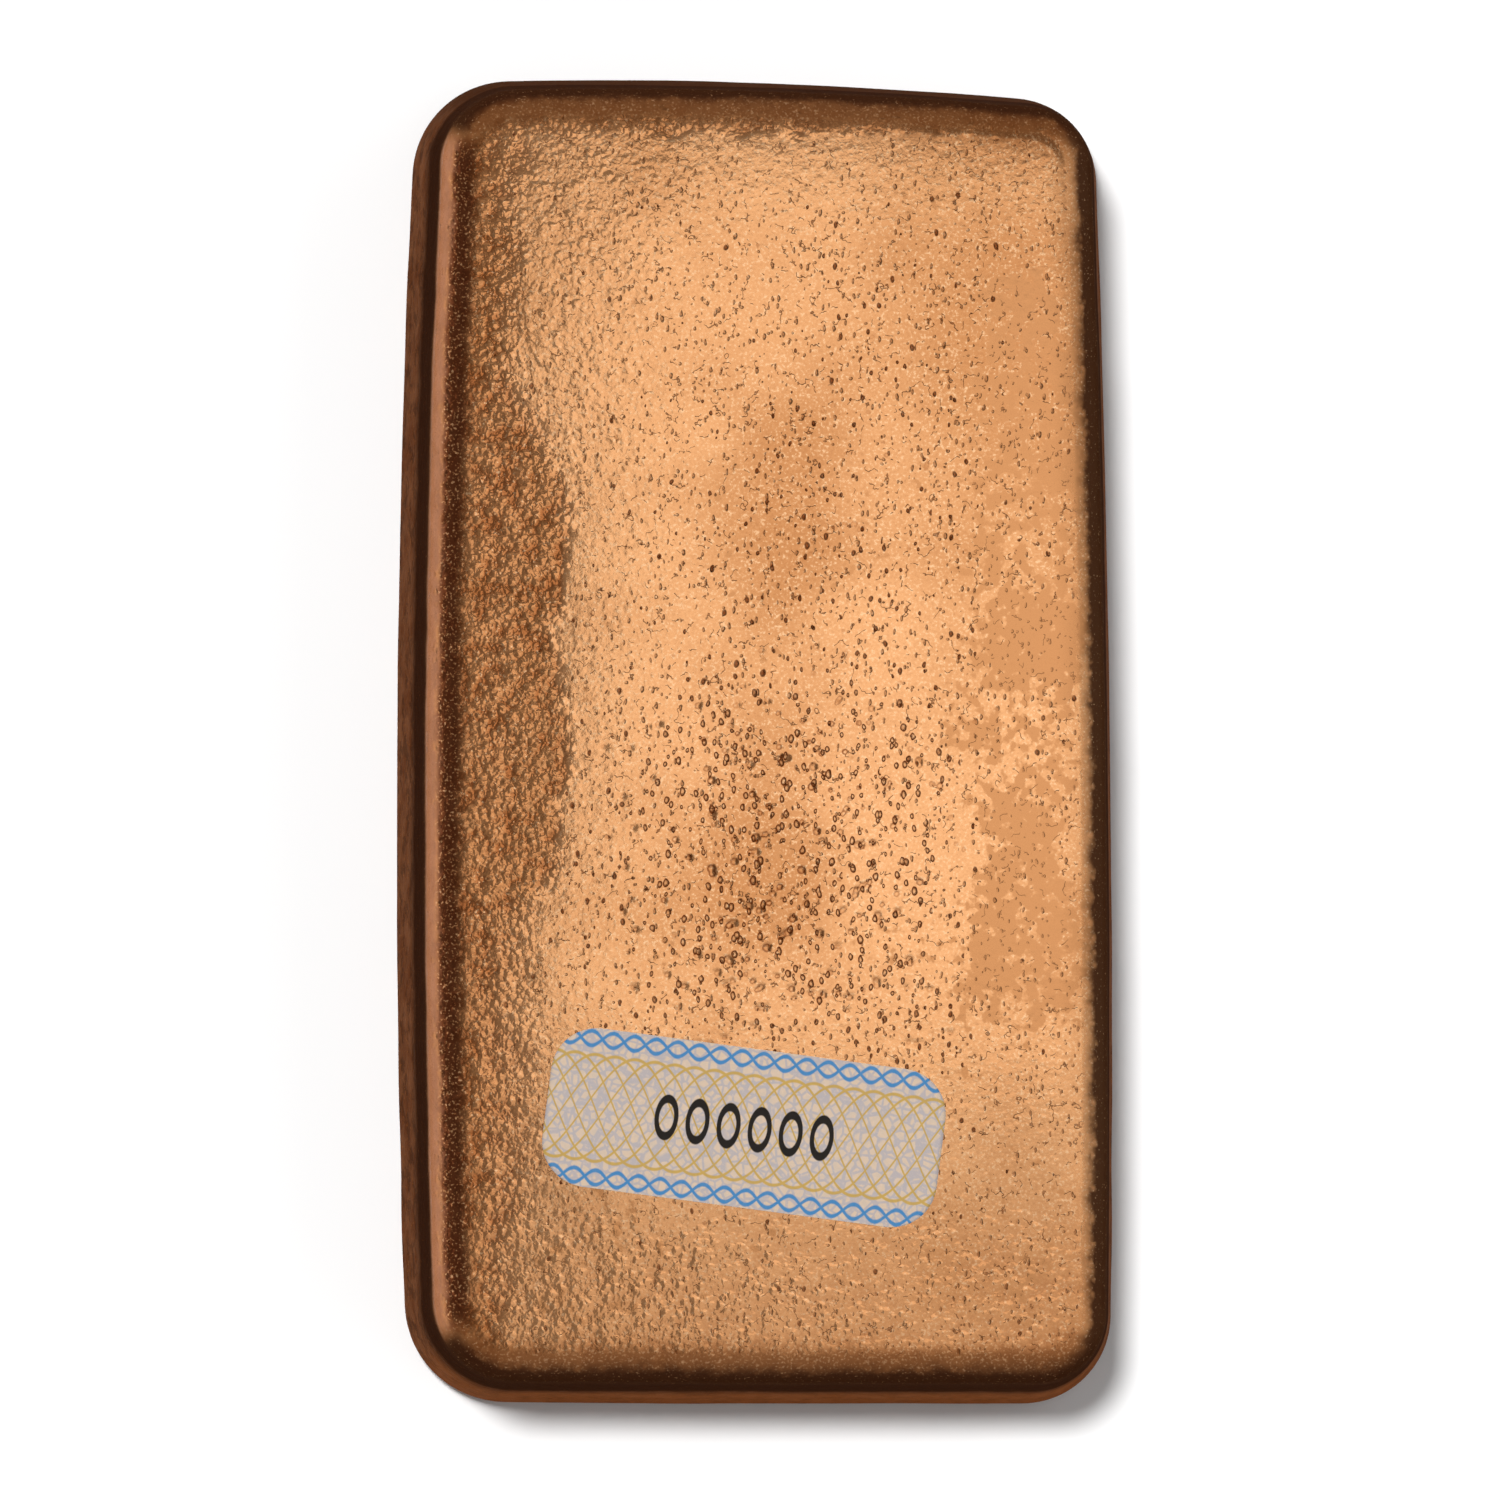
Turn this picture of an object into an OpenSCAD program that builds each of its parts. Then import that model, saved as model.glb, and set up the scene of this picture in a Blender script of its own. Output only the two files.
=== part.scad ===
// Hand-poured copper ingot with a small paper label stuck on its upper face.
// Millimetres. Z = 0 is the level floor, +Y points to the head end, and the labelled face looks up.
// The outline is a closed chain of eight tangent arcs: four slightly bowed sides and four corners.
// One wall section, with draft and two rolled edges, is lofted round the whole chain.

/* [Casting] */
// Length over the widest level
bar_length = 111; // [100:0.5:124]
// Width over the widest level
bar_width = 60.2; // [54:0.1:68]
// Thickness from the resting rim to the upper face
bar_thickness = 18.4; // [15:0.1:22]
// Lean of the walls that lets the casting leave its mould, in degrees
draft_angle = 7; // [3:0.5:9]
// Radius of the rolled edge round the upper face
upper_edge_radius = 3; // [2:0.1:3.8]
// Radius of the edge round the poured underside
lower_edge_radius = 1.8; // [1:0.1:2.6]

/* [Plan of the sides] */
// Radius of the bow along the left side
left_bow_radius = 1180; // [700:20:3000]
// Place of the left side's widest point, towards the head
left_crown = -7; // [-24:1:24]
// Radius of the bow along the right side
right_bow_radius = 2040; // [900:20:3000]
// Place of the right side's widest point, towards the head
right_crown = -25; // [-26:1:24]
// Radius of the bow across the head end
head_bow_radius = 410; // [300:10:1500]
// Place of the head end's furthest point, towards the right
head_crown = -11; // [-16:1:12]
// Radius of the bow across the foot end
foot_bow_radius = 4000; // [400:20:4000]
// Place of the foot end's furthest point, towards the right
foot_crown = 12; // [-12:1:12]

/* [Corners] */
// Plan radius of the corner between the right side and the head
head_right_radius = 7.2; // [7:0.1:10.5]
// Plan radius of the corner between the head and the left side
head_left_radius = 8.2; // [7:0.1:10.5]
// Plan radius of the corner between the left side and the foot
foot_left_radius = 8.5; // [7:0.1:10.5]
// Plan radius of the corner between the foot and the right side
foot_right_radius = 7.5; // [7:0.1:10.5]

/* [Underside] */
// Depth of the shrinkage dish at the middle of the underside
dish_depth = 0.6; // [0.2:0.05:1.2]
// Width of the level rim left round the dish
rim_width = 8; // [6:0.5:12]

/* [Label] */
// Length of the paper label
label_length = 33; // [26:0.5:36]
// Height of the paper label
label_height = 13.2; // [10:0.1:16]
// Radius of the label's corners
label_corner = 3.8; // [1.5:0.1:4.8]
// Thickness of the paper
label_thickness = 0.1; // [0.08:0.01:0.3]
// Turn of the label from square, in degrees
label_turn = -7.5; // [-15:0.5:15]
// Shift of the label's middle from the bar's middle, towards the right
label_shift = -2.1; // [-4:0.1:4]
// Distance from the foot end to the label's middle
label_from_foot = 22.9; // [18:0.1:40]

/* [Hidden] */
$fn = 96;

copper_colour = [0.80, 0.45, 0.24];
paper_colour = [0.80, 0.80, 0.83];
quarter = 90;
half = 2;
side_steps = 8;
corner_steps = 12;
edge_steps = 8;
dish_facets = 1440;

// Wall section: distances are outward from the chain of arcs, so zero is the widest level.
lower_centre = [-lower_edge_radius, lower_edge_radius];
wall_out = [cos(draft_angle), sin(draft_angle)];
wall_offset = lower_centre * wall_out + lower_edge_radius;
upper_centre_z = bar_thickness - upper_edge_radius;
upper_centre_u = (wall_offset - upper_edge_radius - upper_centre_z * wall_out.y) / wall_out.x;
upper_centre = [upper_centre_u, upper_centre_z];

// Sides in turn from the right, counter-clockwise: bow radius, crown point and outward direction.
side_radii = [right_bow_radius, head_bow_radius, left_bow_radius, foot_bow_radius];
side_crowns = [
    [bar_width / half, right_crown],
    [head_crown, bar_length / half],
    [-bar_width / half, left_crown],
    [foot_crown, -bar_length / half]
];
side_count = len(side_radii);
sides = [for (i = [0 : side_count - 1]) i];
function outward(i) = [cos(quarter * i), sin(quarter * i)];
function following(i) = (i + 1) % side_count;
function preceding(i) = (i + side_count - 1) % side_count;
side_centres = [for (i = sides) side_crowns[i] - side_radii[i] * outward(i)];

// Corner i runs from side i to the following side, tangent to both from the inside.
corner_radii = [head_right_radius, head_left_radius, foot_left_radius, foot_right_radius];
function heading(v) = atan2(v.y, v.x);
function turn(from, to) = (to - from + 4 * quarter) % (4 * quarter);

// Crossing of two circles, on the left of the line from the first centre to the second.
function crossing(a, ra, b, rb) =
    let (
        gap = norm(b - a),
        along = (gap * gap + ra * ra - rb * rb) / (2 * gap),
        across = sqrt(ra * ra - along * along),
        way = (b - a) / gap
    )
    a + along * way + across * [-way.y, way.x];

corner_centres = [
    for (i = sides)
        crossing(side_centres[i], side_radii[i] - corner_radii[i],
            side_centres[following(i)], side_radii[following(i)] - corner_radii[i])
];
function reach_heading(i, k) = heading(corner_centres[k] - side_centres[i]);

// Stations round the outline, each a centre, a radius and a heading; joints belong to the sides.
function arc_stations(centre, radius, from, to, steps, margin) =
    [for (k = [margin : steps - margin]) [centre, radius, from + turn(from, to) * k / steps]];
function side_stations(i) =
    arc_stations(side_centres[i], side_radii[i],
        reach_heading(i, preceding(i)), reach_heading(i, i), side_steps, 0);
function corner_stations(i) =
    arc_stations(corner_centres[i], corner_radii[i],
        reach_heading(i, i), reach_heading(following(i), i), corner_steps, 1);
stations = [for (i = sides) each concat(side_stations(i), corner_stations(i))];

// Wall section from the underside up to the face, as outward distance and height.
function edge_arc(centre, radius, from, to) =
    [for (k = [0 : edge_steps]) let (a = from + (to - from) * k / edge_steps) centre + radius * [cos(a), sin(a)]];
section = concat(
    edge_arc(lower_centre, lower_edge_radius, -quarter, draft_angle),
    edge_arc(upper_centre, upper_edge_radius, draft_angle, quarter)
);

// Shrinkage dish: one bow across the width and a longer one along the length.
dish_half_width = bar_width / half - rim_width;
dish_half_length = bar_length / half - rim_width;
function bow_radius(half_chord, rise) = (half_chord * half_chord + rise * rise) / (2 * rise);
dish_cross_radius = bow_radius(dish_half_width, dish_depth);
dish_long_radius = bow_radius(dish_half_length, dish_depth);
dish_sweep = 3 * asin(dish_half_length / dish_long_radius);

// Casting before it shrinks: the wall section lofted round the stations, capped flat at both ends.
module poured_block() {
    around = len(stations);
    levels = len(section);
    points = [
        for (p = section, s = stations)
            let (plan = s[0] + (s[1] + p.x) * [cos(s[2]), sin(s[2])])
                [plan.x, plan.y, p.y]
    ];
    walls = [
        for (j = [0 : levels - 2], k = [0 : around - 1])
            let (low = j * around, high = low + around, next = (k + 1) % around)
                [low + k, high + k, high + next, low + next]
    ];
    underside = [for (k = [0 : around - 1]) k];
    face = [for (k = [1 : around]) levels * around - k];
    polyhedron(points = points, faces = concat(walls, [underside, face]));
}

// Solid whose upper surface is the dish: an arc across the width, turned about an axis far below.
module shrinkage_dish() {
    translate([0, 0, dish_depth - dish_long_radius])
        rotate([0, quarter, 0])
            rotate(quarter * half - dish_sweep / half)
                rotate_extrude(angle = dish_sweep, $fn = dish_facets)
                    intersection() {
                        translate([dish_long_radius - dish_cross_radius, 0])
                            circle(r = dish_cross_radius, $fn = dish_facets);
                        translate([dish_long_radius - half * dish_depth, -bar_width / half])
                            square([half * dish_depth, bar_width]);
                    }
}

module ingot() {
    color(copper_colour)
        difference() {
            poured_block();
            shrinkage_dish();
        }
}

module label_outline() {
    inner = [label_length / half - label_corner, label_height / half - label_corner];
    square([label_length, half * inner.y], center = true);
    square([half * inner.x, label_height], center = true);
    for (x = [-inner.x, inner.x], y = [-inner.y, inner.y])
        translate([x, y])
            circle(r = label_corner);
}

module label() {
    color(paper_colour)
        translate([label_shift, label_from_foot - bar_length / half, bar_thickness])
            rotate(label_turn)
                linear_extrude(height = label_thickness)
                    label_outline();
}

ingot();
label();
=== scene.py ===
"""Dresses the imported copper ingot: a hand-poured casting with a printed paper label on its face.

Size fields are in millimetres and meshes in metres. +X is the photograph's right, +Y its top, and
the labelled face looks up from the floor at Z = 0.
"""

import logging
import math
from dataclasses import dataclass
from enum import Enum, IntEnum
from functools import reduce

import bpy
import numpy as np
from mathutils import Matrix, Vector


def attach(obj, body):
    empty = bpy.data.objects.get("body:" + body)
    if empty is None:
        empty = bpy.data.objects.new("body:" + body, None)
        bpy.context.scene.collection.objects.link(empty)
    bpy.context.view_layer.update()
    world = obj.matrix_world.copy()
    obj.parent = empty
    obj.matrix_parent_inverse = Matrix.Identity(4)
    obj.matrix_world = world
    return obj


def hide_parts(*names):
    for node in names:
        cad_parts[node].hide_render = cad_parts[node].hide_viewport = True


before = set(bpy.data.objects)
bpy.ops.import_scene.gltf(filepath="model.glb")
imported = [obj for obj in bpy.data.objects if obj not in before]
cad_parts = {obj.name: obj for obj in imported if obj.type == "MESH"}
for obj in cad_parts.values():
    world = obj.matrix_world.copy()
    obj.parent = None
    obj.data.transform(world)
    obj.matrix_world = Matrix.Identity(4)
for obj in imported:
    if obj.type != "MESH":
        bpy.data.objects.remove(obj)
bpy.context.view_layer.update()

MM = 0.001
PER_MM = 1.0 / MM
QUARTER_TURN = math.pi / 2
FULL_TURN = math.pi * 2
PRINT_MAP = "print"
PRINT_MIDDLE = 0.5
CELL_MIDDLE = 0.5

log = logging.getLogger("copper_ingot")

Feed = bpy.types.NodeSocket | float | tuple[float, ...]


class Part(Enum):
    """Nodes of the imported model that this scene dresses."""

    INGOT = "ingot"
    LABEL = "label"


class Slot(Enum):
    """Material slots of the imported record."""

    COPPER = "copper"
    PAPER = "label_paper"


class Side(IntEnum):
    """Sides of the bar's outline, counter-clockwise from the right."""

    RIGHT = 0
    HEAD = 1
    LEFT = 2
    FOOT = 3


class Field(Enum):
    """Vertex fields that the casting hands to its finish."""

    SKIN = "rough_skin"
    PATCH = "smooth_patch"
    REACH = "crater_reach"
    RIM_SHADE = "crater_rim_shade"
    WALK = "wall_walk"
    LEFT = "left_side"
    FOOT = "foot_side"
    HEAD = "head_side"
    CROWD = "crater_crowd"
    TARNISH_AND_SHEEN = "broad_tarnish_and_sheen"


# Whole-array helpers


def smooth_rise(start: float, end: float, value: np.ndarray) -> np.ndarray:
    """Cubic ease from 0 at start to 1 at end: 3t squared less 2t cubed, with t held to 0..1.

    Args:
        start: value where the ease is 0.
        end: value where the ease is 1; it may be below start.
        value: values to ease.

    Returns:
        The eased values.
    """
    share = np.clip((value - start) / (end - start), 0.0, 1.0)
    return share * share * (3.0 - 2.0 * share)


@dataclass(frozen=True)
class Ramp:
    """Cubic ease between two values: the low result up to start, the high result from end on."""

    start: float
    end: float
    low: float = 0.0
    high: float = 1.0

    def at(self, value: np.ndarray) -> np.ndarray:
        """Eases an array: low, plus the way from low to high times the smooth rise."""
        return self.low + (self.high - self.low) * smooth_rise(self.start, self.end, value)


@dataclass(frozen=True)
class Bell:
    """Soft spot on the plan: a weight times e to minus two scaled distances, each to a power."""

    centre: tuple[float, float]
    reach: tuple[float, float]
    weight: float = 1.0
    power: int = 2

    def at(self, x: np.ndarray, y: np.ndarray) -> np.ndarray:
        """Height of the bell at each point.

        Args:
            x: places across.
            y: places along.

        Returns:
            Heights, the weight at the centre and near 0 past the reach.
        """
        across = (x - self.centre[0]) / self.reach[0]
        along = (y - self.centre[1]) / self.reach[1]
        return self.weight * np.exp(-across ** self.power - along ** self.power)


def quintic_rise(share: np.ndarray) -> np.ndarray:
    """Ease with flat ends: 6t to the fifth, less 15t to the fourth, plus 10t cubed."""
    return share ** 3 * (share * (share * 6 - 15) + 10)


@dataclass(frozen=True)
class LatticeNoise:
    """Seeded value noise: random numbers on a square lattice, eased between its points."""

    seed: int
    cell: float
    gain: float = 1.0
    period: int = 128

    def at(self, x: np.ndarray, y: np.ndarray) -> np.ndarray:
        """Blends the four lattice numbers round each point with a quintic ease.

        Args:
            x: first coordinates.
            y: second coordinates.

        Returns:
            Noise between minus the gain and the gain.
        """
        lattice = np.random.default_rng(self.seed).uniform(-1.0, 1.0, (self.period, self.period))
        columns, rows = np.floor(x / self.cell), np.floor(y / self.cell)
        across, along = quintic_rise(x / self.cell - columns), quintic_rise(y / self.cell - rows)
        left = columns.astype(int) % self.period
        low = rows.astype(int) % self.period
        right, high = (left + 1) % self.period, (low + 1) % self.period
        lower = lattice[low, left] * (1 - across) + lattice[low, right] * across
        upper = lattice[high, left] * (1 - across) + lattice[high, right] * across
        return self.gain * (lower * (1 - along) + upper * along)


def layered(noises: tuple[LatticeNoise, ...], x: np.ndarray, y: np.ndarray) -> np.ndarray:
    """Sum of several lattice noises at the same points."""
    return sum(noise.at(x, y) for noise in noises)


def graded_steps(span: tuple[float, float], dense: tuple[float, float], fine: float,
                 coarse: float, multiple: int) -> np.ndarray:
    """Shares 0..1 along a span, close together where the surface needs detail.

    The wanted spacing eases from coarse to fine over the dense stretch. Its inverse is summed
    along the span, and equal parts of that sum give the steps.

    Args:
        span: lowest and highest place, in millimetres.
        dense: stretch that gets the fine spacing.
        fine: spacing inside the dense stretch.
        coarse: spacing elsewhere.
        multiple: the count of steps is a multiple of this.

    Returns:
        Increasing shares that start at 0 and end at 1.
    """
    samples = 4000
    margin = 6.0
    place = np.linspace(span[0], span[1], samples)
    inside = (smooth_rise(dense[0] - margin, dense[0], place)
              * smooth_rise(dense[1] + margin, dense[1], place))
    density = 1.0 / (coarse + (fine - coarse) * inside)
    summed = np.concatenate([[0.0], np.cumsum((density[1:] + density[:-1]) / 2 * np.diff(place))])
    count = multiple * round(summed[-1] / multiple)
    steps = np.interp(np.linspace(0.0, summed[-1], count + 1), summed, place)
    return (steps - span[0]) / (span[1] - span[0])


def make_mesh(name: str, points: np.ndarray, faces: list[np.ndarray]) -> bpy.types.Mesh:
    """Makes a smooth-shaded mesh.

    Args:
        name: name of the mesh.
        points: vertex places in metres, one row each.
        faces: arrays of vertex numbers, one row for each face.

    Returns:
        The mesh.
    """
    mesh = bpy.data.meshes.new(name)
    mesh.from_pydata(points.tolist(), [], [row for block in faces for row in block.tolist()])
    mesh.polygons.foreach_set("use_smooth", np.ones(len(mesh.polygons), dtype=bool))
    mesh.update()
    return mesh


def store_field(mesh: bpy.types.Mesh, field: Field, values: np.ndarray) -> None:
    """Stores one number for each vertex.

    Args:
        mesh: mesh that carries the field.
        field: name of the field.
        values: one number for each vertex.
    """
    layer = mesh.attributes.new(field.value, "FLOAT", "POINT")
    layer.data.foreach_set("value", values.astype(np.float32))


def show(mesh: bpy.types.Mesh, part: Part, finish: bpy.types.Material) -> bpy.types.Object:
    """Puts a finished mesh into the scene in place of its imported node.

    Args:
        mesh: mesh whose place is in its vertices.
        part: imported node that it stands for.
        finish: material that it wears.

    Returns:
        The new object.
    """
    mesh.materials.append(finish)
    piece = bpy.data.objects.new(mesh.name, mesh)
    bpy.context.collection.objects.link(piece)
    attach(piece, "root")
    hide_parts(part.value)
    return piece


# Shape of the casting


@dataclass(frozen=True)
class ArcChain:
    """Tangent arcs in a row: centres, radii, first headings and sweeps."""

    centres: np.ndarray
    radii: np.ndarray
    starts: np.ndarray
    sweeps: np.ndarray

    def stations(self, shares: np.ndarray) -> tuple[np.ndarray, np.ndarray, np.ndarray]:
        """Places shares of the chain's length on its arcs.

        The length to each share picks an arc, and what is left over, as a part of that arc's
        length, gives the heading within its sweep.

        Args:
            shares: places along the chain, from 0 to 1.

        Returns:
            The centre, radius and heading of each place.
        """
        lengths = self.radii * self.sweeps
        ends = np.cumsum(lengths)
        goal = np.clip(shares, 0.0, 1.0) * ends[-1]
        arc = np.minimum(np.searchsorted(ends, goal, side="right"), len(ends) - 1)
        local = (goal - (ends[arc] - lengths[arc])) / lengths[arc]
        return self.centres[arc], self.radii[arc], self.starts[arc] + self.sweeps[arc] * local


@dataclass(frozen=True)
class Rim:
    """Stations round the whole outline, counter-clockwise from the foot-left corner."""

    centres: np.ndarray
    radii: np.ndarray
    headings: np.ndarray

    def outward(self) -> np.ndarray:
        """Gives the level outward direction at each station."""
        return np.stack([np.cos(self.headings), np.sin(self.headings)], axis=-1)

    def points(self, offset: float) -> np.ndarray:
        """Moves each station outward from its arc's centre by the radius plus an offset."""
        return self.centres + (self.radii + offset)[:, None] * self.outward()


@dataclass(frozen=True)
class BarPlan:
    """Outline of the casting at its widest level: four bowed sides and four round corners.

    Sides and corners are numbered counter-clockwise from the right side, and corner i follows
    side i.
    """

    length: float = 111.0
    width: float = 60.2
    bow_radii: tuple[float, ...] = (2040.0, 410.0, 1180.0, 4000.0)
    crowns: tuple[float, ...] = (-25.0, -11.0, -7.0, 12.0)
    corner_radii: tuple[float, ...] = (7.2, 8.2, 8.5, 7.5)

    def side_centres(self) -> np.ndarray:
        """Each bow's centre: its crown point less its radius along the outward direction.

        Returns:
            One centre for each side.
        """
        right, head, left, foot = self.crowns
        crowns = np.array([[self.width / 2, right], [head, self.length / 2],
                           [-self.width / 2, left], [foot, -self.length / 2]])
        turn = np.arange(len(Side)) * QUARTER_TURN
        outward = np.stack([np.cos(turn), np.sin(turn)], axis=-1)
        return crowns - np.array(self.bow_radii)[:, None] * outward

    def corner_centres(self) -> np.ndarray:
        """Each corner's centre, tangent to its two sides from the inside.

        It is the crossing of two circles round the bows' centres, each a corner radius smaller
        than its bow: so far along the line between the centres, and so far to its left.

        Returns:
            One centre for each corner.
        """
        near = self.side_centres()
        far = np.roll(near, -1, axis=0)
        corner = np.array(self.corner_radii)
        near_reach = np.array(self.bow_radii) - corner
        far_reach = np.roll(self.bow_radii, -1) - corner
        gap = np.linalg.norm(far - near, axis=1)
        along = (gap ** 2 + near_reach ** 2 - far_reach ** 2) / (2 * gap)
        across = np.sqrt(near_reach ** 2 - along ** 2)
        way = (far - near) / gap[:, None]
        left = np.stack([-way[:, 1], way[:, 0]], axis=-1)
        return near + along[:, None] * way + across[:, None] * left

    def section(self, side: Side) -> ArcChain:
        """The stretch from the middle of one corner, along a side, to the middle of the next.

        Args:
            side: the side.

        Returns:
            Half a corner, the side and half a corner.
        """
        before, after = (side - 1) % len(Side), (side + 1) % len(Side)
        sides, corners = self.side_centres(), self.corner_centres()

        def heading(corner: int, bow: int) -> float:
            """Direction from a bow's centre to a corner's centre, where the two arcs touch."""
            reach = corners[corner] - sides[bow]
            return math.atan2(reach[1], reach[0])

        first, last = heading(before, side), heading(side, side)
        opening = (first - heading(before, before)) % FULL_TURN / 2
        closing = (heading(side, after) - last) % FULL_TURN / 2
        return ArcChain(
            centres=np.array([corners[before], sides[side], corners[side]]),
            radii=np.array([self.corner_radii[before], self.bow_radii[side], self.corner_radii[side]]),
            starts=np.array([first - opening, first, last]),
            sweeps=np.array([opening, (last - first) % FULL_TURN, closing]),
        )

    def rim(self, across: np.ndarray, along: np.ndarray) -> Rim:
        """Stations round the outline that match the lines of a face grid.

        Args:
            across: shares of the grid's columns, 0..1.
            along: shares of the grid's rows, 0..1.

        Returns:
            Stations along foot, right, head and left, each without its last point.
        """
        runs = [self.section(Side.FOOT).stations(across[:-1]),
                self.section(Side.RIGHT).stations(along[:-1]),
                self.section(Side.HEAD).stations(1 - across[:0:-1]),
                self.section(Side.LEFT).stations(1 - along[:0:-1])]
        return Rim(*(np.concatenate(values) for values in zip(*runs)))


@dataclass(frozen=True)
class WallSection:
    """Drafted wall between the rolled edge of the face and the edge of the underside."""

    thickness: float = 18.4
    draft: float = math.radians(7.0)
    upper_radius: float = 3.0
    lower_radius: float = 1.8
    upper_steps: int = 12
    wall_steps: int = 12
    lower_steps: int = 6

    def levels(self) -> tuple[np.ndarray, np.ndarray, np.ndarray, np.ndarray]:
        """Walks the section from the face down to the underside.

        The upper arc turns from straight up to the draft angle, the wall is the straight line
        between the arcs' tangent points, and the lower arc turns on to straight down.

        Returns:
            The outward offset, the height, the elevation of the outward normal and the length of
            the walk up from the underside at each level.
        """
        low = np.array([-self.lower_radius, self.lower_radius])
        wall_out = np.array([math.cos(self.draft), math.sin(self.draft)])
        high_z = self.thickness - self.upper_radius
        high_u = (low @ wall_out + self.lower_radius - self.upper_radius
                  - high_z * wall_out[1]) / wall_out[0]
        upper = np.linspace(QUARTER_TURN, self.draft, self.upper_steps + 1)
        lower = np.linspace(self.draft, -QUARTER_TURN, self.lower_steps + 1)
        top = np.stack([high_u + self.upper_radius * np.cos(upper),
                        high_z + self.upper_radius * np.sin(upper)], axis=-1)
        base = np.stack([low[0] + self.lower_radius * np.cos(lower),
                         low[1] + self.lower_radius * np.sin(lower)], axis=-1)
        share = np.linspace(0.0, 1.0, self.wall_steps + 1)[1:-1, None]
        wall = top[-1] * (1 - share) + base[0] * share
        walk = np.concatenate([top, wall, base])
        turn = np.concatenate([upper, np.full(len(wall), self.draft), lower])
        steps = np.linalg.norm(np.diff(walk, axis=0), axis=1)
        climb = np.concatenate([np.cumsum(steps[::-1])[::-1], [0.0]])
        return walk[:, 0], walk[:, 1], turn, climb


def coons_patch(rim_points: np.ndarray, across: np.ndarray, along: np.ndarray) -> np.ndarray:
    """Fills a closed rim with a grid.

    A Coons patch: the blend of foot and head edges, plus the blend of left and right edges, less
    the bilinear blend of the four corners.

    Args:
        rim_points: rim points counter-clockwise from the foot-left corner.
        across: shares of the columns.
        along: shares of the rows.

    Returns:
        Grid of points, rows first.
    """
    columns, rows = len(across) - 1, len(along) - 1
    closed = np.concatenate([rim_points, rim_points[:1]])
    foot = closed[:columns + 1]
    right = closed[columns:columns + rows + 1]
    head = closed[columns + rows:2 * columns + rows + 1][::-1]
    left = closed[2 * columns + rows:][::-1]
    u, v = across[None, :, None], along[:, None, None]
    between_ends = (1 - v) * foot[None] + v * head[None]
    between_sides = (1 - u) * left[:, None] + u * right[:, None]
    corners = ((1 - u) * (1 - v) * foot[0] + u * (1 - v) * foot[-1]
               + (1 - u) * v * head[0] + u * v * head[-1])
    return between_ends + between_sides - corners


def grid_rim(columns: int, rows: int, first: int) -> np.ndarray:
    """Vertex numbers round a grid, counter-clockwise from its first corner.

    Args:
        columns: cells across.
        rows: cells along.
        first: number of the grid's first vertex.

    Returns:
        Numbers of the rim vertices.
    """
    numbers = first + np.arange((columns + 1) * (rows + 1)).reshape(rows + 1, columns + 1)
    return np.concatenate([numbers[0, :-1], numbers[:-1, -1], numbers[-1, :0:-1], numbers[:0:-1, 0]])


def grid_faces(columns: int, rows: int, first: int, upward: bool) -> np.ndarray:
    """Quads of a grid.

    Args:
        columns: cells across.
        rows: cells along.
        first: number of the grid's first vertex.
        upward: whether the faces look up.

    Returns:
        Vertex numbers of the quads.
    """
    numbers = first + np.arange((columns + 1) * (rows + 1)).reshape(rows + 1, columns + 1)
    corners = [numbers[:-1, :-1], numbers[:-1, 1:], numbers[1:, 1:], numbers[1:, :-1]]
    quads = np.stack(corners, axis=-1).reshape(-1, 4)
    return quads if upward else quads[:, ::-1]


def band_faces(upper: np.ndarray, lower: np.ndarray) -> np.ndarray:
    """Quads between two closed rings of equal count, looking outward."""
    return np.stack([upper, lower, np.roll(lower, -1), np.roll(upper, -1)], axis=-1)


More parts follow.
